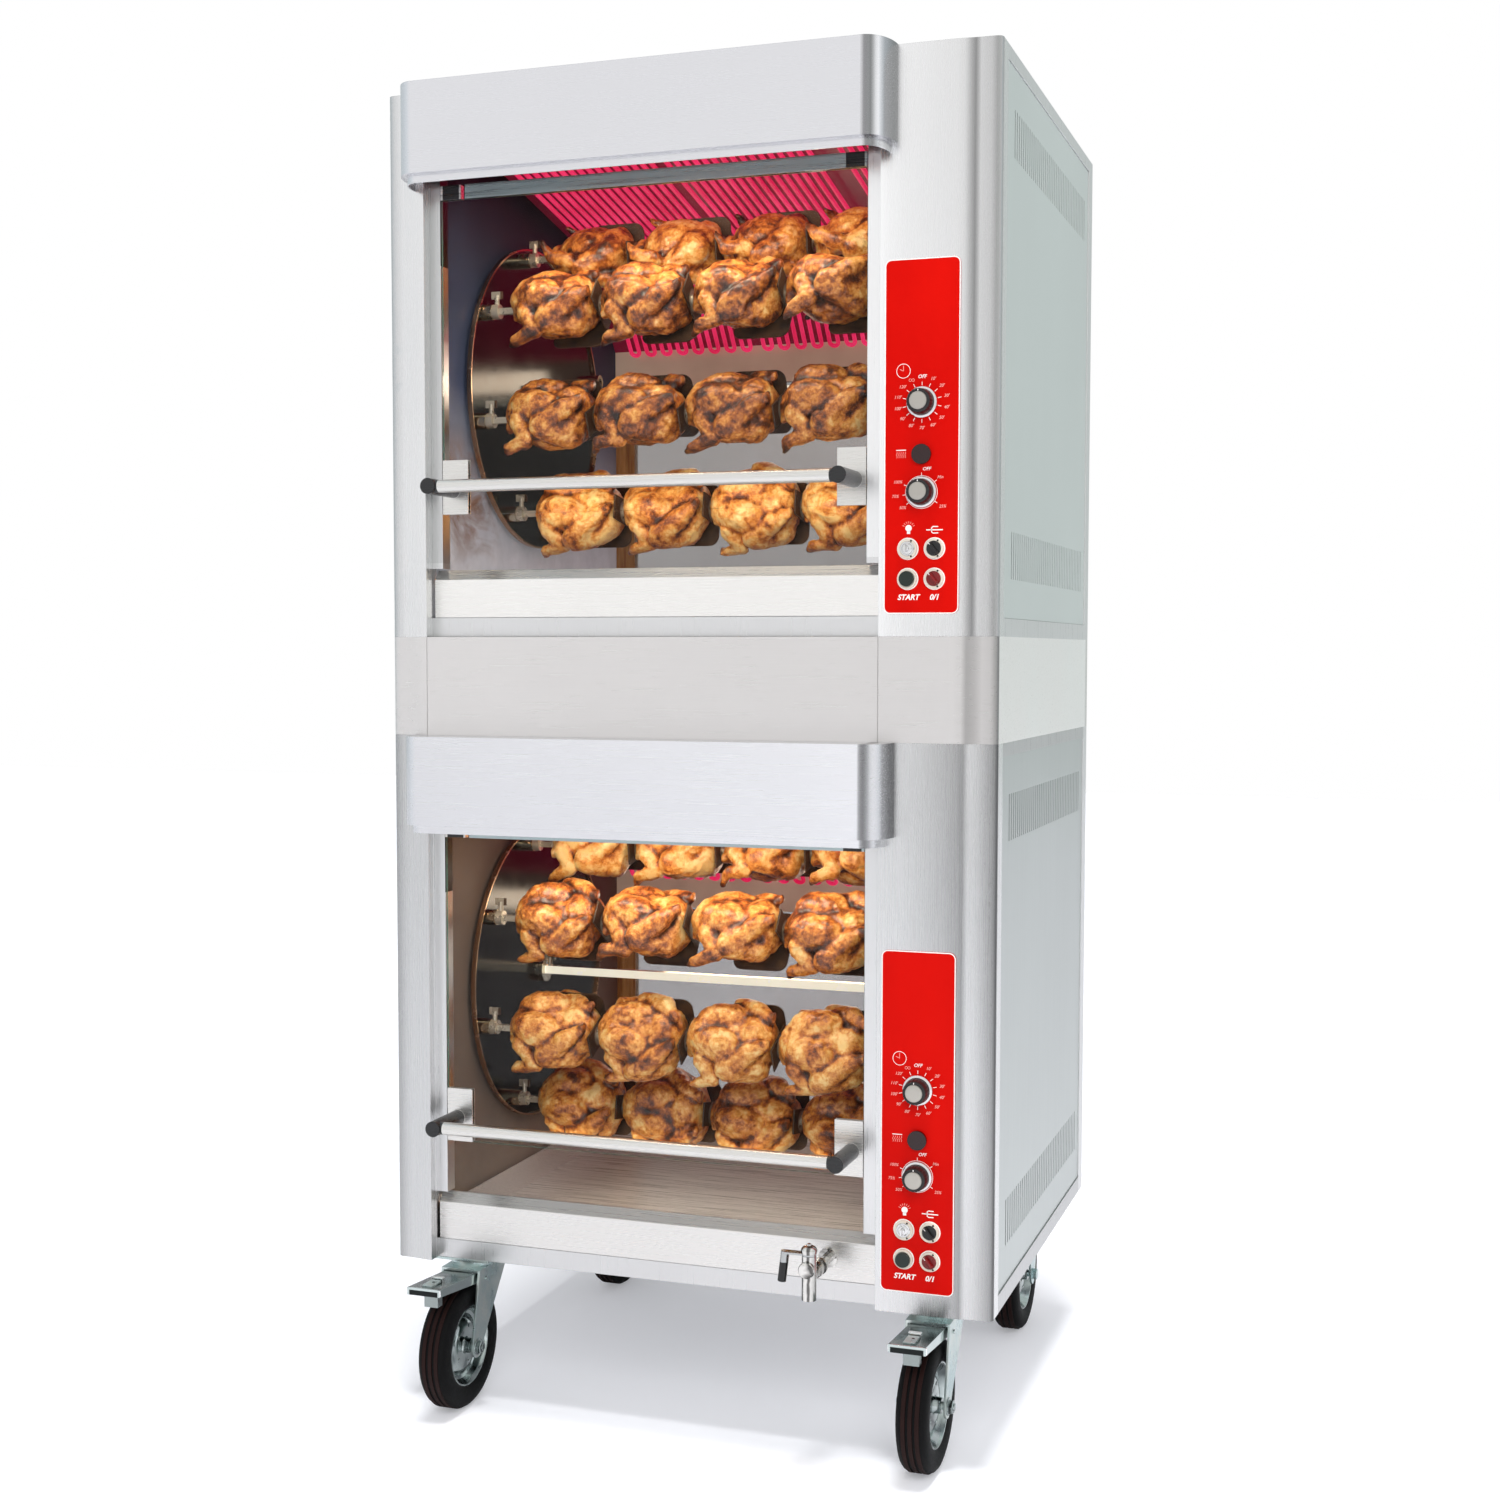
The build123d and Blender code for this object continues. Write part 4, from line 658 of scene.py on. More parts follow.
class Shape:
    """Points and faces in metres, with a material number for each face."""

    def __init__(self):
        self.points, self.faces, self.marks = [], [], []

    def add(self, points, faces, mark=0):
        start = len(self.points)
        self.points += [Vector(p) for p in points]
        self.faces += [tuple(i + start for i in face) for face in faces]
        self.marks += [mark] * len(faces)

    def lathe(self, origin, axis, profile, segments=64, mark=0, flute=None):
        """Turns a profile of (distance along the axis, radius) pairs, in millimetres, about an axis."""
        axis = Vector(axis).normalized()
        across = axis.orthogonal().normalized()
        other = axis.cross(across)
        points, faces = [], []
        rings = []
        for along, radius in profile:
            centre = origin + axis * (along / 1000)
            if radius < 1e-6:
                rings.append([len(points)])
                points.append(centre)
                continue
            ring = []
            for step in range(segments):
                angle = 2 * math.pi * step / segments
                size = radius + (flute(angle, along, radius) if flute else 0.0)
                ring.append(len(points))
                points.append(centre + (across * math.cos(angle) + other * math.sin(angle)) * (size / 1000))
            rings.append(ring)
        for first, second in zip(rings, rings[1:]):
            for step in range(segments):
                after = (step + 1) % segments
                if len(first) == 1 and len(second) == 1:
                    continue
                if len(first) == 1:
                    faces.append((first[0], second[after], second[step]))
                elif len(second) == 1:
                    faces.append((first[step], first[after], second[0]))
                else:
                    faces.append((first[step], first[after], second[after], second[step]))
        self.add(points, faces, mark)

    def block(self, x0, x1, y0, y1, z0, z1, mark=0, bevel=0.4):
        """A block between two corners in millimetres, with chamfered edges."""
        work = bmesh.new()
        bmesh.ops.create_cube(work, size=1)
        low, high = P(x0, y0, z0), P(x1, y1, z1)
        size = high - low
        for vert in work.verts:
            vert.co = Vector((low[i] + (vert.co[i] + 0.5) * size[i] for i in range(3)))
        bmesh.ops.bevel(work, geom=list(work.edges), offset=bevel / 1000, segments=2, affect="EDGES",
                        clamp_overlap=True)
        self.add([v.co for v in work.verts], [[v.index for v in f.verts] for f in work.faces], mark)
        work.free()

    def tube(self, path, radius, segments=12, mark=0):
        """A round tube along points in metres, its radius in millimetres."""
        points, faces = [], []
        outward = None
        for index, point in enumerate(path):
            before = path[max(index - 1, 0)]
            after = path[min(index + 1, len(path) - 1)]
            run = (after - before).normalized()
            outward = run.orthogonal() if outward is None else outward - run * outward.dot(run)
            outward.normalize()
            other = run.cross(outward)
            for step in range(segments):
                angle = 2 * math.pi * step / segments
                points.append(point + (outward * math.cos(angle) + other * math.sin(angle)) * (radius / 1000))
        for index in range(len(path) - 1):
            for step in range(segments):
                after = (step + 1) % segments
                a, b = index * segments, (index + 1) * segments
                faces.append((a + step, a + after, b + after, b + step))
        faces.append(tuple(range(segments - 1, -1, -1)))
        last = (len(path) - 1) * segments
        faces.append(tuple(range(last, last + segments)))
        self.add(points, faces, mark)

    def stroke(self, points, width, mark=0, depth=PRINT_FACE):
        """A flat line on a panel's face, through (x, z) pairs in millimetres at depth y."""
        count = len(points)
        left, right = [], []
        for index, (x, z) in enumerate(points):
            bx, bz = points[max(index - 1, 0)]
            ax, az = points[min(index + 1, count - 1)]
            length = math.hypot(ax - bx, az - bz) or 1.0
            nx, nz = -(az - bz) / length * width / 2, (ax - bx) / length * width / 2
            left.append(P(x + nx, depth, z + nz))
            right.append(P(x - nx, depth, z - nz))
        faces = [(i, i + 1, count + i + 1, count + i) for i in range(count - 1)]
        self.add(left + right, faces, mark)

    def disc(self, x, z, radius, mark=0, inner=0.0, depth=PRINT_FACE):
        """A flat disc or ring on a panel's face."""
        segments = 40
        turns = [2 * math.pi * i / segments for i in range(segments)]
        circle = [(math.cos(turn), math.sin(turn)) for turn in turns]
        outer = [P(x + radius * c, depth, z + radius * s) for c, s in circle]
        if inner:
            ring = [P(x + inner * c, depth, z + inner * s) for c, s in circle]
            self.add(outer + ring, band_faces(segments), mark)
        else:
            self.add(outer, [tuple(range(segments))], mark)


def piece(name, shape, body, materials, replaces=(), smooth=True, crease=35):
    """Makes an object of a shape, riding on a body of the model."""
    mesh = bpy.data.meshes.new(name)
    mesh.from_pydata(shape.points, [], shape.faces)
    for material in materials:
        mesh.materials.append(material)
    mesh.polygons.foreach_set("material_index", shape.marks)
    mesh.validate()
    work = bmesh.new()
    work.from_mesh(mesh)
    bmesh.ops.remove_doubles(work, verts=work.verts, dist=1e-7)
    if name.split("_")[-1] != "print":
        bmesh.ops.recalc_face_normals(work, faces=work.faces)
    work.to_mesh(mesh)
    work.free()
    if smooth:
        mesh.shade_smooth()
        mesh.set_sharp_from_angle(angle=math.radians(crease))
    made = bpy.data.objects.new(name, mesh)
    scene.collection.objects.link(made)
    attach(made, body)
    if replaces:
        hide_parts(*replaces)
    return made


# Chickens

SKIN_VOXEL = 2.4
PLUMP = 1.27
STRETCH = 1.1


def make_bird(seed):
    """One roasted bird in millimetres: neck at -x, tail at +x, breast up. Returns its mesh in metres."""
    rng = np.random.default_rng(seed)
    work = bmesh.new()

    def shake(point, size=2.5):
        return Vector(point) + Vector(rng.uniform(-size, size, 3))

    def ball(centre, radii, turn=(0, 0, 0)):
        matrix = Matrix.Translation(centre) @ Euler(turn).to_matrix().to_4x4() @ Matrix.Diagonal((*radii, 1))
        bmesh.ops.create_icosphere(work, subdivisions=3, radius=1, matrix=matrix)

    def limb(points, radii):
        for (start, end), (r0, r1) in zip(zip(points, points[1:]), zip(radii, radii[1:])):
            steps = max(3, int((end - start).length / (0.35 * min(r0, r1))))
            for step in range(steps + 1):
                share = step / steps
                size = r0 + (r1 - r0) * share
                ball(start.lerp(end, share), (size, size, size))

    ball(shake((4, 0, 0), 1.5), (60, 41, 39))
    ball(shake((-30, 0, 10)), (36, 33, 30))
    ball(shake((38, 0, 2)), (35, 38, 37))
    ball(shake((56, 0, -8)), (16, 14, 11), (0, 0.3, 0))
    ball(shake((-56, 0, 2)), (15, 20, 19))
    tips = [(Vector((-66, 0, 0)), 17, 0.42), (Vector((66, 0, -8)), 14, 0.3)]
    for way in (-1, 1):
        ball(shake((-10, way * 17, 22)), (44, 23, 24), (way * -0.3, 0.08, way * 0.1))
        ball(shake((-64, way * 11, -5)), (7, 9, 8))
        hip = shake((38, way * 22, -8))
        knee = shake((4, way * 44, 6), 4)
        shin = shake((38, way * 33, 24), 3)
        ankle = shake((62, way * 21, 33), 4)
        limb([hip, knee], [23, 19])
        limb([knee, shin, ankle], [18, 14, 6.5])
        ball(ankle + Vector((4, 0, 1)), (6.5, 8, 7))
        shoulder = shake((-36, way * 33, 12))
        elbow = shake((-16, way * 50, -8), 4)
        wrist = shake((-46, way * 53, -16), 4)
        tip = shake((-61, way * 47, -31), 4)
        limb([shoulder, elbow], [14, 11])
        limb([elbow, wrist], [11, 9])
        limb([wrist, tip], [8.5, 4.5])
        tips += [(ankle, 13, 0.4), (wrist, 12, 0.28), (tip, 18, 0.4)]
        tips.append((knee + Vector((0, way * 12, 0)), 14, 0.2))
    raw = bpy.data.meshes.new("bird_raw")
    work.to_mesh(raw)
    work.free()
    temp = bpy.data.objects.new("bird_raw", raw)
    scene.collection.objects.link(temp)
    grow = temp.modifiers.new("remesh", "REMESH")
    grow.mode = "VOXEL"
    grow.voxel_size = SKIN_VOXEL
    melt = temp.modifiers.new("smooth", "SMOOTH")
    melt.factor, melt.iterations = 0.5, 7
    mesh = bpy.data.meshes.new_from_object(temp.evaluated_get(bpy.context.evaluated_depsgraph_get()))
    bpy.data.objects.remove(temp)
    count = len(mesh.vertices)
    co = np.empty(count * 3, np.float32)
    normals = np.empty(count * 3, np.float32)
    mesh.vertices.foreach_get("co", co)
    mesh.vertices.foreach_get("normal", normals)
    co, normals = co.reshape(-1, 3), normals.reshape(-1, 3)
    pairs = np.empty(len(mesh.edges) * 2, np.int32)
    mesh.edges.foreach_get("vertices", pairs)
    first_end, second_end = pairs.reshape(-1, 2).T
    degree = np.bincount(pairs, minlength=count)
    soft = co.copy()
    for _ in range(9):
        spread = [np.bincount(first_end, soft[second_end, axis], count) +
                  np.bincount(second_end, soft[first_end, axis], count) for axis in range(3)]
        soft = (np.array(spread) / degree).T
    hollow = ((soft - co) * normals).sum(1)
    shift = Vector(rng.uniform(50, 900, 3))
    lift = np.empty(count)
    roast_and_shade = np.empty(count)
    for index in range(count):
        point = Vector(co[index])
        seat = point + shift
        broad = noise.fractal(seat / 21, 0.9, 2.1, 3)
        stretched = Vector((seat.x / 17, seat.y / 8, seat.z / 8))
        fold = noise.ridged_multi_fractal(stretched, 0.9, 2.1, 3, 1.0, 2.0)
        small = noise.fractal(seat / 5.5, 0.8, 2.1, 3)
        patch = noise.fractal(seat / 34, 0.8, 2.2, 4)
        lift[index] = 1.9 * broad + 1.1 * (fold - 1.1) + 0.55 * small
        # Roasting from noise, with painted shade: the valleys between folds, the hollows and the bird's own
        # underside come out darker.
        tone = 0.40 + 0.34 * patch + 0.12 * (broad + small) - 0.12 * (fold - 1.1)
        tone += min(0.42, max(-0.1, 0.34 * hollow[index])) + 0.10 * (normals[index][2] < -0.2)
        for where, reach, amount in tips:
            near = 1 - (point - where).length / reach
            if near > 0:
                tone += amount * min(1.0, near * 1.7)
        roast_and_shade[index] = tone
    co = co + normals * lift[:, None]
    co[:, 1:] *= PLUMP
    radius = np.hypot(co[:, 1], co[:, 2])
    squeeze = np.where(radius > 60, (60 + 20 * np.tanh((radius - 60) / 20)) / np.maximum(radius, 1e-6), 1.0)
    co[:, 1] *= squeeze
    co[:, 2] *= squeeze
    reach = np.abs(co[:, 0]) * STRETCH
    co[:, 0] = np.sign(co[:, 0]) * np.where(reach > 68, 68 + 9.5 * np.tanh((reach - 68) / 9.5), reach)
    mesh.vertices.foreach_set("co", (co / 1000).astype(np.float32).ravel())
    values = mesh.attributes.new("roast_and_shade", "FLOAT", "POINT")
    values.data.foreach_set("value", roast_and_shade.astype(np.float32))
    mesh.materials.clear()
    mesh.materials.append(skin)
    mesh.shade_smooth()
    mesh.update()
    return mesh


birds = [make_bird(seed) for seed in (11, 23, 37, 52, 68)]
BIRD_TURNS = {"upper": (196, 24, 34, 60), "lower": (22, 30, 48, 66)}
# each row's skin is made darker or paler as a whole
BIRD_ROW_TONE = {"upper": (-0.03, 0.13, 0.15, -0.08), "lower": (-0.12, 0.06, 0.0, 0.05)}
FIRST_BIRD_X, BIRD_STEP = 214.25, 158


def bird_row(name, body, y, z, turn, roast_and_shade, offset, node):
    """Four birds on one bar, as one piece."""
    parts = []
    for index in range(4):
        rng = np.random.default_rng(offset * 10 + index)
        mesh = birds[(offset + index * 2) % len(birds)]
        spin = math.radians(turn + rng.uniform(-16, 16))
        matrix = Matrix.Translation(P(FIRST_BIRD_X + BIRD_STEP * index, y, z)) @ Matrix.Rotation(spin, 4, "X")
        if rng.random() < 0.5:
            matrix = matrix @ Matrix.Diagonal((1, -1, 1, 1))
        copy = bpy.data.objects.new("bird_copy", mesh.copy())
        copy.data.transform(matrix)
        values = np.empty(len(copy.data.vertices), np.float32)
        marks = copy.data.attributes["roast_and_shade"].data
        marks.foreach_get("value", values)
        marks.foreach_set("value", values + roast_and_shade + np.float32(rng.uniform(-0.05, 0.05)))
        if matrix.determinant() < 0:
            copy.data.flip_normals()
        scene.collection.objects.link(copy)
        parts.append(copy)
    with bpy.context.temp_override(active_object=parts[0], object=parts[0], selected_editable_objects=parts,
                                   selected_objects=parts):
        bpy.ops.object.join()
    row = parts[0]
    row.name = name
    row.data.name = name
    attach(row, body)
    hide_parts(node)


count = 0
for module, base in BASES.items():
    for number in range(1, 5):
        bird_row(f"{module}_roast_birds_{number}", f"{module}_spit_{number}", *spit_place(base, number),
                 BIRD_TURNS[module][number - 1], BIRD_ROW_TONE[module][number - 1], count,
                 f"{module}_chickens_{number}")
        count += 1


# Control panels


def words(shape, text, x, z, size, mark=0, weight=0.0):
    """Printed characters, centred on (x, z), size in millimetres."""
    curve = bpy.data.curves.new("words", "FONT")
    curve.body = text
    curve.align_x, curve.align_y = "CENTER", "CENTER"
    curve.size = size * 1.35
    curve.shear = 0.25
    curve.offset = weight
    curve.resolution_u = 3
    temp = bpy.data.objects.new("words", curve)
    scene.collection.objects.link(temp)
    mesh = bpy.data.meshes.new_from_object(temp.evaluated_get(bpy.context.evaluated_depsgraph_get()))
    shape.add([P(x + v.co.x, PRINT_FACE, z + v.co.y) for v in mesh.vertices],
              [tuple(p.vertices) for p in mesh.polygons], mark)
    bpy.data.objects.remove(temp)


def around(x, z, radius, degrees):
    """A point on a circle on a panel; the angle counts from the top, clockwise."""
    angle = math.radians(degrees)
    return x + radius * math.sin(angle), z + radius * math.cos(angle)


def tick(shape, x, z, degrees, start, end, width=0.9, mark=0):
    """A short line that points away from (x, z)."""
    shape.stroke([around(x, z, start, degrees), around(x, z, end, degrees)], width, mark)


def panel_prints(module, base):
    """The frame, dials and symbols printed on a control panel."""
    shape = Shape()
    outer, inner = [], []
    low, high, left, right = base + 43, base + 537.5, 829.5, 922.5
    for x, z, start in ((right, high, 0), (right, low, 90), (left, low, 180), (left, high, 270)):
        turns = [start + 90 * step / 8 for step in range(9)]
        outer += [around(x, z, 9.9, turn) for turn in turns]
        inner += [around(x, z, 8.3, turn) for turn in turns]
    shape.add([P(x, PRINT_FACE, z) for x, z in outer + inner], band_faces(len(outer)))
    # timer dial
    x, z = PANEL_X, base + KNOBS["timer"]
    for index, text in enumerate(["OFF"] + [f"{n}'" for n in range(10, 130, 10)] + [None]):
        turn = 360 / 14 * index
        tick(shape, x, z, turn, 24.4, 29.5)
        sine, cosine = around(0, 0, 1, turn)
        if text:
            size, mark = (5.4, 0) if text == "OFF" else (4.8, 1)
            words(shape, text, x + 37.5 * sine, z + 37.0 * cosine, size, mark, 0.08)
        else:
            for way in (-1, 1):
                shape.disc(x + 36 * sine + way * 2.1, z + 36 * cosine, 2.2, mark=1, inner=1.6)
    x, z = x - 28, z + 46
    shape.disc(x, z, 10.6, inner=9.8)
    shape.stroke([(x, z), (x, z + 8)], 0.8, mark=1)
    shape.stroke([(x, z), (x - 5.5, z + 2.5)], 0.8, mark=1)
    # heat symbol
    z = base + 267
    shape.stroke([(PANEL_X - 38.5, z + 4.5), (PANEL_X - 23.5, z + 4.5)], 1.2)
    for index in range(5):
        x = PANEL_X - 37.4 + 3.2 * index
        wave = [(x + 0.7 * math.sin(step * 1.1), z + 2.2 - step) for step in range(10)]
        shape.stroke(wave, 0.6, mark=1)
    # power dial
    x, z = PANEL_X, base + KNOBS["power"]
    for turn, text, reach in ((0, None, 0), (53, "Min", 35), (124, "25%", 38), (232, "50%", 36),
                              (262, "75%", 40), (293, "100%", 39)):
        tick(shape, x, z, turn, 24.4, 28.5)
        if text:
            words(shape, text, *around(x, z, reach, turn), 4.6, 1, 0.06)
    words(shape, "OFF", x + 7.5, z + 33.5, 5.2, weight=0.08)
    shape.disc(x, z, 24.2, inner=23.5)
    # lamp and spit symbols
    x, z = PANEL_X - 19, base + 158
    shape.disc(x, z, 4.8)
    shape.stroke([(x, z - 4), (x, z - 8.4)], 5.0)
    for index in range(7):
        tick(shape, x, z, -66 + 22 * index, 6.8, 10.0, 0.7, 1)
    x, z = PANEL_X + 20, base + 155
    shape.stroke([(x - 12.5, z), (x + 12.5, z)], 1.6)
    for way in (-1, 1):
        shape.stroke([(x + 5.5, z + way * 4.6), (x - 2, z + way * 4.8), (x - 4.2, z + way * 3.4),
                      (x - 4.6, z)], 1.5)
    words(shape, "START", PANEL_X - 19, base + 57, 8.2, weight=0.35)
    words(shape, "0/1", PANEL_X + 20, base + 57, 8.2, weight=0.35)
    # rings printed round the switches
    for row in (TOP_ROW, BOTTOM_ROW):
        for x in (PANEL_X - SWITCH_X, PANEL_X + SWITCH_X):
            shape.disc(x, base + row, 16.2, inner=14.3, depth=PRINT_FACE + 0.02)
    piece(f"{module}_panel_print", shape, "cabinet", [white_print, faint_print], smooth=False)


def knob(module, kind, base, height):
    """A fluted knob on a graduated silver skirt, with a satin cap."""
    origin = P(PANEL_X, 0, base + height)

    def flutes(angle, along, radius):
        return -0.55 * (0.5 + 0.5 * math.cos(angle * 22)) ** 3

    shape = Shape()
    shape.lathe(origin, OUT, [
        (1.8, 0), (1.8, 22.6), (2.4, 23), (4.4, 23), (5.4, 22.4), (6.0, 21.2), (6.2, 19.5)], 96, mark=1)
    shape.lathe(origin, OUT, [(6.0, 19.4), (7.8, 19.4), (8.2, 18.9)], 96, mark=0)
    shape.lathe(origin, OUT, [
        (8.2, 19.3), (9.4, 19.3), (23.6, 17.9), (25.2, 17.2), (26.2, 15.6), (26.4, 13.1)], 176, flute=flutes)
    shape.lathe(origin, OUT, [
        (26.0, 13.2), (26.6, 13.0), (27.4, 12.6), (27.8, 11.7), (27.75, 6), (27.7, 0)], 72, mark=2)
    z = base + height
    shape.block(PANEL_X - 0.6, PANEL_X + 0.6, -26.62, -25.9, z + 13.6, z + 16.2, mark=3, bevel=0.2)
    piece(f"{module}_{kind}_dial", shape, f"{module}_{kind}_knob", [black, chrome, satin, white_print],
          (f"{module}_{kind}_knob",))


def switches(module, base):
    """Notches and rims on the bezels, and the grips of the selectors."""
    shape = Shape()
    left, right = PANEL_X - SWITCH_X, PANEL_X + SWITCH_X
    for middle, row in ((left, TOP_ROW), (right, TOP_ROW), (right, BOTTOM_ROW)):
        for turn in (28, 152):
            x, z = around(middle, base + row, 12.8, turn)
            # each notch is a small disc painted with the shade of its recess
            shape.lathe(P(x, 0, z), OUT, [(5.9, 0), (5.9, 1.5), (6.68, 1.5), (6.7, 0)], 20, mark=1)
    shape.lathe(P(left, 0, base + BOTTOM_ROW), OUT,
                [(6.4, 11.2), (6.9, 11.3), (7.3, 12.2), (7.3, 13.4), (6.8, 14.3), (6.3, 14.45)], 64, mark=0)
    piece(f"{module}_bezel_trim", shape, "cabinet", [cream, painted_hole_shade])
    for name, row, colour, slot in (("spit_selector", TOP_ROW, black, "black_plastic"),
                                    ("main_selector", BOTTOM_ROW, dark_red, "red_plastic")):
        grip = Shape()
        z = base + row
        origin = P(right, 0, z)
        grip.lathe(origin, OUT, [(1.0, 10.9), (6.9, 10.95), (7.6, 10.4), (7.9, 8.4), (7.9, 0)], 64)
        work = bmesh.new()
        bmesh.ops.create_cube(work, size=1)
        for vert in work.verts:
            wide, tall = (0.72, 0.9) if vert.co.y < 0 else (1.0, 1)
            vert.co = Vector((vert.co.x * 6.4 * wide, vert.co.y * 8.2 - 11.4, vert.co.z * 20.6 * tall))
        bmesh.ops.bevel(work, geom=list(work.edges), offset=1.3, segments=3, affect="EDGES")
        spin = Matrix.Rotation(math.radians(-38), 4, "Y")
        grip.add([origin + (spin @ v.co) / 1000 for v in work.verts],
                 [[v.index for v in f.verts] for f in work.faces])
        work.free()
        grip.stroke([(right - 6.4, z + 8.2), (right - 3.9, z + 5.0)], 0.9, mark=1, depth=-15.6)
        piece(f"{module}_{name}_grip", grip, f"{module}_{name}", [colour, white_print],
              (f"{module}_{name}",))
    lock = Shape()
    z = base + TOP_ROW
    lock.lathe(P(left, 0, z), OUT, [
        (1.0, 10.9), (6.4, 10.95), (7.2, 10.2), (7.4, 8.6), (6.9, 7.8), (7.3, 6.9), (8.0, 6.4), (8.3, 5.4),
        (8.3, 0)], 64)
    lock.block(left - 1.4, left + 1.4, -22.3, -8.0, z - 5.4, z + 5.4, bevel=0.7)
    lock.lathe(P(left, -9, z), OUT, [(0, 0), (0, 3.6), (4, 3.4), (5, 0)], 24)
    key = f"{module}_light_key"
    piece(f"{key}_lock", lock, key, [chrome], (key,))


for module, base in BASES.items():
    panel_prints(module, base)
    for kind, height in KNOBS.items():
        knob(module, kind, base, height)
    switches(module, base)


# Louvres


SLOTS, SLOT_STEP, FIRST_SLOT_Y = 39, 16, 97.5
BLADE_FACES = [(0, 1, 2, 3), (7, 6, 5, 4), (0, 4, 5, 1), (1, 5, 6, 2), (2, 6, 7, 3), (3, 7, 4, 0)]


def louvres(module, base, hand, outer, inner):
    """Slanted blades behind the slots of one side panel."""
    shape = Shape()
    for low, high in ((86, 157), (705, 776)):
        for index in range(SLOTS):
            start = FIRST_SLOT_Y + SLOT_STEP * index - 3.4
            corners = []
            for z in (base + low, base + high):
                for x, y in ((outer, 0), (outer, 0.8), (inner, 7.6), (inner, 6.8)):
                    corners.append(P(x, start + y, z))
            shape.add(corners, BLADE_FACES)
    piece(f"{module}_{hand}_louvres", shape, "cabinet", [louvre])


for module, base in BASES.items():
    louvres(module, base, "left", 3.2, 11.0)
    louvres(module, base, "right", 986.8, 979.0)


# Casters


def wheel(end, x, y):
    """A ribbed rubber tyre on a pressed zinc rim with a raised centre, rivets and hub tubes."""
    origin = P(x, y, AXLE_UP)
    across = (1, 0, 0)
    tyre = [(-17, 63.5), (-19.5, 63.2), (-21.5, 65.5), (-23.6, 71), (-24.8, 79), (-24.4, 87), (-22.4, 93),
    (-19, 96.8),
            (-15.6, 98.3), (-14.4, 98.5)]
    for rib in (-10.6, 0.0, 10.6):
        tyre += [(rib - 3.7, 98.2), (rib - 3.0, 99.9), (rib + 3.0, 99.9), (rib + 3.7, 98.2)]
    tyre += [(-a, r) for a, r in reversed(tyre[:10])]
    shape = Shape()
    shape.lathe(origin, across, tyre, 128)
    rim = [(-24.9, 5.5), (-24.9, 11), (-24.2, 12), (-15, 12.4), (-12.6, 14), (-12.2, 20), (-13.2, 27),
    (-13.6, 34),
           (-11.6, 40), (-6.5, 45), (-4.6, 50), (-6.4, 55), (-13.5, 58.6), (-18.6, 60), (-20.6, 61.6),
           (-20.9, 63.2), (-19.9, 64.4), (-17.5, 64.2)]
    shape.lathe(origin, across, rim + [(-a, r) for a, r in reversed(rim)], 96, mark=1)
    for way in (-1, 1):
        for index in range(5):
            angle = math.radians(72 * index + 20)
            spot = origin + Vector((way * 0.0128, 0.031 * math.sin(angle), 0.031 * math.cos(angle)))
            shape.lathe(spot, (way, 0, 0), [(-2, 3.4), (0.6, 3.4), (1.5, 2.6), (1.9, 0)], 20, mark=1)
    made = piece(f"{end}_tyre", shape, f"{end}_wheel", [rubber, rim_zinc], (f"{end}_wheel",))
    tread = made.data.attributes.new("tread", "FLOAT", "POINT")
    values = []
    for vert in made.data.vertices:
        gap = vert.co - origin
        radius = math.hypot(gap.y, gap.z)
        values.append(1.0 if radius > 0.0992 and abs(gap.x) < 0.0152 else 0.0)
    tread.data.foreach_set("value", values)


for row, y in (("front", FRONT_Y), ("rear", REAR_Y)):
    for hand, x in CASTER_X.items():
        wheel(f"{row}_{hand}", x, y)


def pedal_trim(hand, x):
    """The catch on top of a brake pedal, its stamped plate and the rolled front edge."""
    shape = Shape()
    shape.block(x - 10, x + 10, -55, -47, 223, 232.5, bevel=0.8)
    shape.block(x - 9, x + 9, -88, -58, 225, 229.4, mark=1, bevel=0.6)
    # a small disc painted with the shade of a hole
    shape.lathe(P(x + 2, -70, 229.3), (0, 0, 1), [(0.0, 0.0), (0.0, 2.2), (0.3, 2.2), (0.3, 0.0)], 24, mark=2)
    edge = [P(x - 28.2 + 4.7 * step, -98.2, 226.6) for step in range(13)]
    shape.tube([P(x - 28.2, -97.6, 217), *edge, P(x + 28.2, -97.6, 217)], 1.6)
    piece(f"front_{hand}_pedal_trim", shape, f"front_{hand}_brake_pedal", [catch, zinc, painted_hole_shade])


def axle_nut(hand, x):
    """Washer, hex nut and bolt end on each outer face of a front fork."""
    shape = Shape()
    for way in (-1, 1):
        face = P(x + way * 34.5, FRONT_Y, AXLE_UP)
        shape.lathe(face, (way, 0, 0), [(0, 0), (0, 13.5), (1.2, 13.5), (1.5, 12.8), (1.5, 0)], 40)
        shape.lathe(face, (way, 0, 0), [(1.4, 0), (1.4, 11.2), (7.6, 11.2), (8.6, 9.6), (8.6, 0)], 6)
        shape.lathe(face, (way, 0, 0), [(8.5, 0), (8.5, 5.6), (10.2, 5.6), (10.8, 4.8), (10.8, 0)], 24)
    piece(f"front_{hand}_axle_nuts", shape, f"front_{hand}_caster_fork", [rim_zinc], crease=20)


for hand, x in CASTER_X.items():
    pedal_trim(hand, x)
    axle_nut(hand, x)


# Drain tap

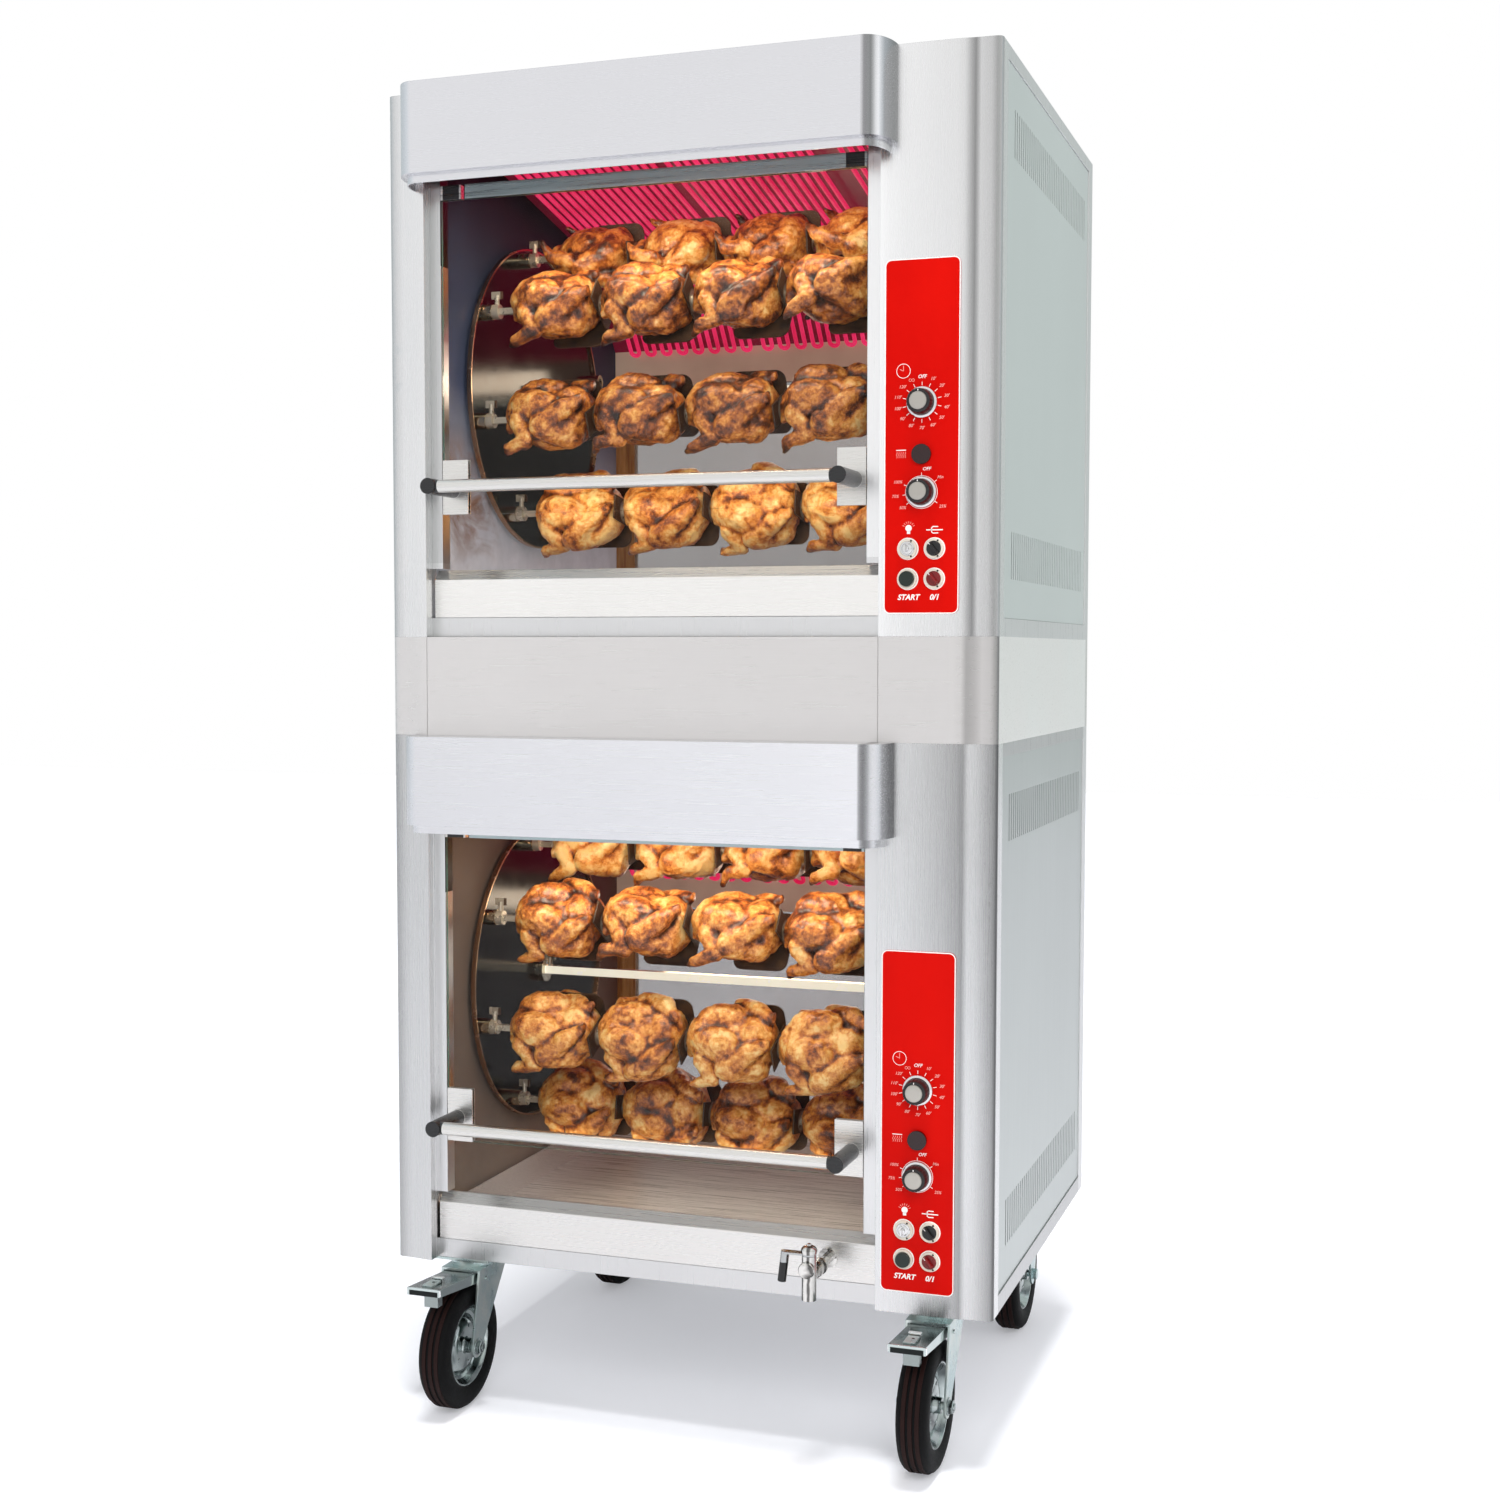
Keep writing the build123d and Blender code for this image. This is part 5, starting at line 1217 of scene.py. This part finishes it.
tap = Shape()
tap.lathe(P(TAP_X, -84.5, 319), OUT, [(0, 0), (0, 12.4), (5.2, 12.4), (6.6, 11.4), (7.2, 9.6), (7.4, 0)], 48)
tap.lathe(P(TAP_X, -60, 306), (0, 1, 0), [
    (0, 8.2), (8, 9.4), (14, 9.6), (14.2, 11.6), (22, 11.8), (22.3, 10.2), (34, 10.4), (34.3, 12.6),
    (40, 12.8), (40.2, 8.2)], 48)
piece("tap_fittings", tap, "lower_drip_drawer", [tap_chrome])
dome = Shape()
dome.lathe(P(TAP_X, TAP_Y, 344.5), (0, 0, 1), [
    (-3.5, 0), (-3.5, 11.6), (1.0, 12.4), (3.6, 11.8), (6.6, 9.4), (8.2, 6.0), (8.6, 3.4), (10.8, 3.2),
    (11.6, 2.2), (11.8, 0)], 48)
piece("tap_lever_dome", dome, "tap_lever", [tap_chrome])


# World, floor and lighting

# what polished metal sees, by compass angle from the front: screens, gaps and a darker room behind
STUDIO = [
    (-180, (0.61, 0.655, 0.64)), (-110, (0.66, 0.72, 0.75)), (-62, (0.84, 0.89, 0.92)),
    (-38, (0.98, 0.98, 0.99)), (12, (1.0, 1.0, 1.0)), (34, (0.90, 0.93, 0.91)), (80, (1.0, 1.0, 1.0)),
    (108, (0.80, 0.87, 0.90)), (145, (0.62, 0.67, 0.665)), (180, (0.61, 0.655, 0.64)),
]
world = bpy.data.worlds.new("studio")
scene.world = world
world.use_nodes = True
sky = Nodes(world.node_tree)
split = sky.node("ShaderNodeSeparateXYZ")
sky.join(sky.node("ShaderNodeTexCoord").outputs["Generated"], split.inputs[0])
turn = sky.math("ARCTAN2", split.outputs[0], sky.times(split.outputs[1], -1.0))
stops = [((angle + 180) / 360, (*tint, 1)) for angle, tint in STUDIO]
studio = sky.ramp(sky.span(turn, -math.pi, math.pi), stops)
rays = sky.node("ShaderNodeLightPath").outputs
see_white = sky.math("MAXIMUM", rays["Is Camera Ray"], rays["Is Transmission Ray"])
plain = sky.blend(see_white, (0.50, 0.50, 0.505, 1), grey(1))
background = sky.node("ShaderNodeBackground")
sky.join(sky.blend(rays["Is Glossy Ray"], plain, studio), background.inputs[0])
background.inputs[1].default_value = 1.0
sky.join(background.outputs[0], sky.node("ShaderNodeOutputWorld").inputs[0])

floor_shape = bmesh.new()
bmesh.ops.create_grid(floor_shape, x_segments=24, y_segments=24, size=14)
floor_mesh = bpy.data.meshes.new("floor")
floor_shape.to_mesh(floor_mesh)
floor_shape.free()
floor = bpy.data.objects.new("floor", floor_mesh)
scene.collection.objects.link(floor)
pale = Finish("pale_floor")
seen = pale.node("ShaderNodeLightPath").outputs
shown = pale.math("MAXIMUM", seen["Is Camera Ray"], seen["Is Transmission Ray"])
floor_paint = pale.set(Base_Color=pale.shade(rgb(226, 227, 231), pale.noise(3), 0.985), Roughness=0.9,
                       Specular_IOR_Level=0.0, Emission_Color=rgb(246, 247, 252),
                       Emission_Strength=pale.times(shown, 0.29))
floor_mesh.materials.append(floor_paint)


def lamp(name, kind, where, target, energy, colour=(1, 1, 1), size=None, glossy=True, angle=None,
         spread=None):
    """A light out of the camera's sight, turned to a target; glossy says if polished metal mirrors it."""
    data = bpy.data.lights.new(name, kind)
    data.energy = energy
    data.color = colour
    if size:
        data.shape = "RECTANGLE"
        data.size, data.size_y = size
    if angle is not None:
        data.angle = angle
    if spread is not None:
        data.spread = math.radians(spread)
    made = bpy.data.objects.new(name, data)
    scene.collection.objects.link(made)
    made.location = where
    made.rotation_euler = (Vector(target) - Vector(where)).to_track_quat("-Z", "Y").to_euler()
    made.visible_camera = False
    made.visible_glossy = glossy


lamp("sun_above", "SUN", (0.3, -0.6, 6.0), (0, 0.1, 0), 2.1, angle=0.2, glossy=False)
lamp("key_front", "AREA", (1.4, -3.8, 3.0), (0, 0, 1.1), 85, size=(2.4, 2.4), glossy=False)
lamp("fill_right", "AREA", (3.6, -0.8, 1.8), (0, 0.2, 1.0), 30, size=(2.0, 2.0), glossy=False)
for module, base in BASES.items():
    lamp(f"{module}_cavity_front", "AREA", P(447, 62, base + 700), P(447, 380, base + 360), 1.35,
         (1.0, 0.86, 0.66), (0.64, 0.03))
    lamp(f"{module}_cavity_rear", "AREA", P(450, 690, base + 500), P(450, 380, base + 420), 0.5,
         (1.0, 0.84, 0.64), (0.5, 0.04))

for name, start, end, energy in (("upper_cavity_low", (447, 55, 1482), (447, 264, 1470), 0.2),
                                 ("lower_tray_light", (447, 60, 440), (447, 330, 280), 0.42)):
    lamp(name, "AREA", P(*start), P(*end), energy, (1.0, 0.84, 0.62), (0.6, 0.03), glossy=False, spread=60)


# Camera

YAW, PITCH, ROLL = math.radians(18.645), math.radians(-3.246), math.radians(0.107)
forward = Vector((-math.sin(YAW) * math.cos(PITCH), math.cos(YAW) * math.cos(PITCH), math.sin(PITCH)))
right = Vector((math.cos(YAW), math.sin(YAW), 0))
up = right.cross(forward)
across = math.cos(ROLL) * right + math.sin(ROLL) * up
above = -math.sin(ROLL) * right + math.cos(ROLL) * up
camera_data = bpy.data.cameras.new("camera")
camera_data.sensor_width = 36
camera_data.lens = 46.84
camera_data.shift_x, camera_data.shift_y = -0.0132, 0.0091
camera = bpy.data.objects.new("camera", camera_data)
scene.collection.objects.link(camera)
matrix = Matrix((across, above, -forward)).transposed().to_4x4()
matrix.translation = Vector((1.0878, -3.1282, 1.2274))
camera.matrix_world = matrix
scene.camera = camera
scene.view_settings.view_transform = "Standard"
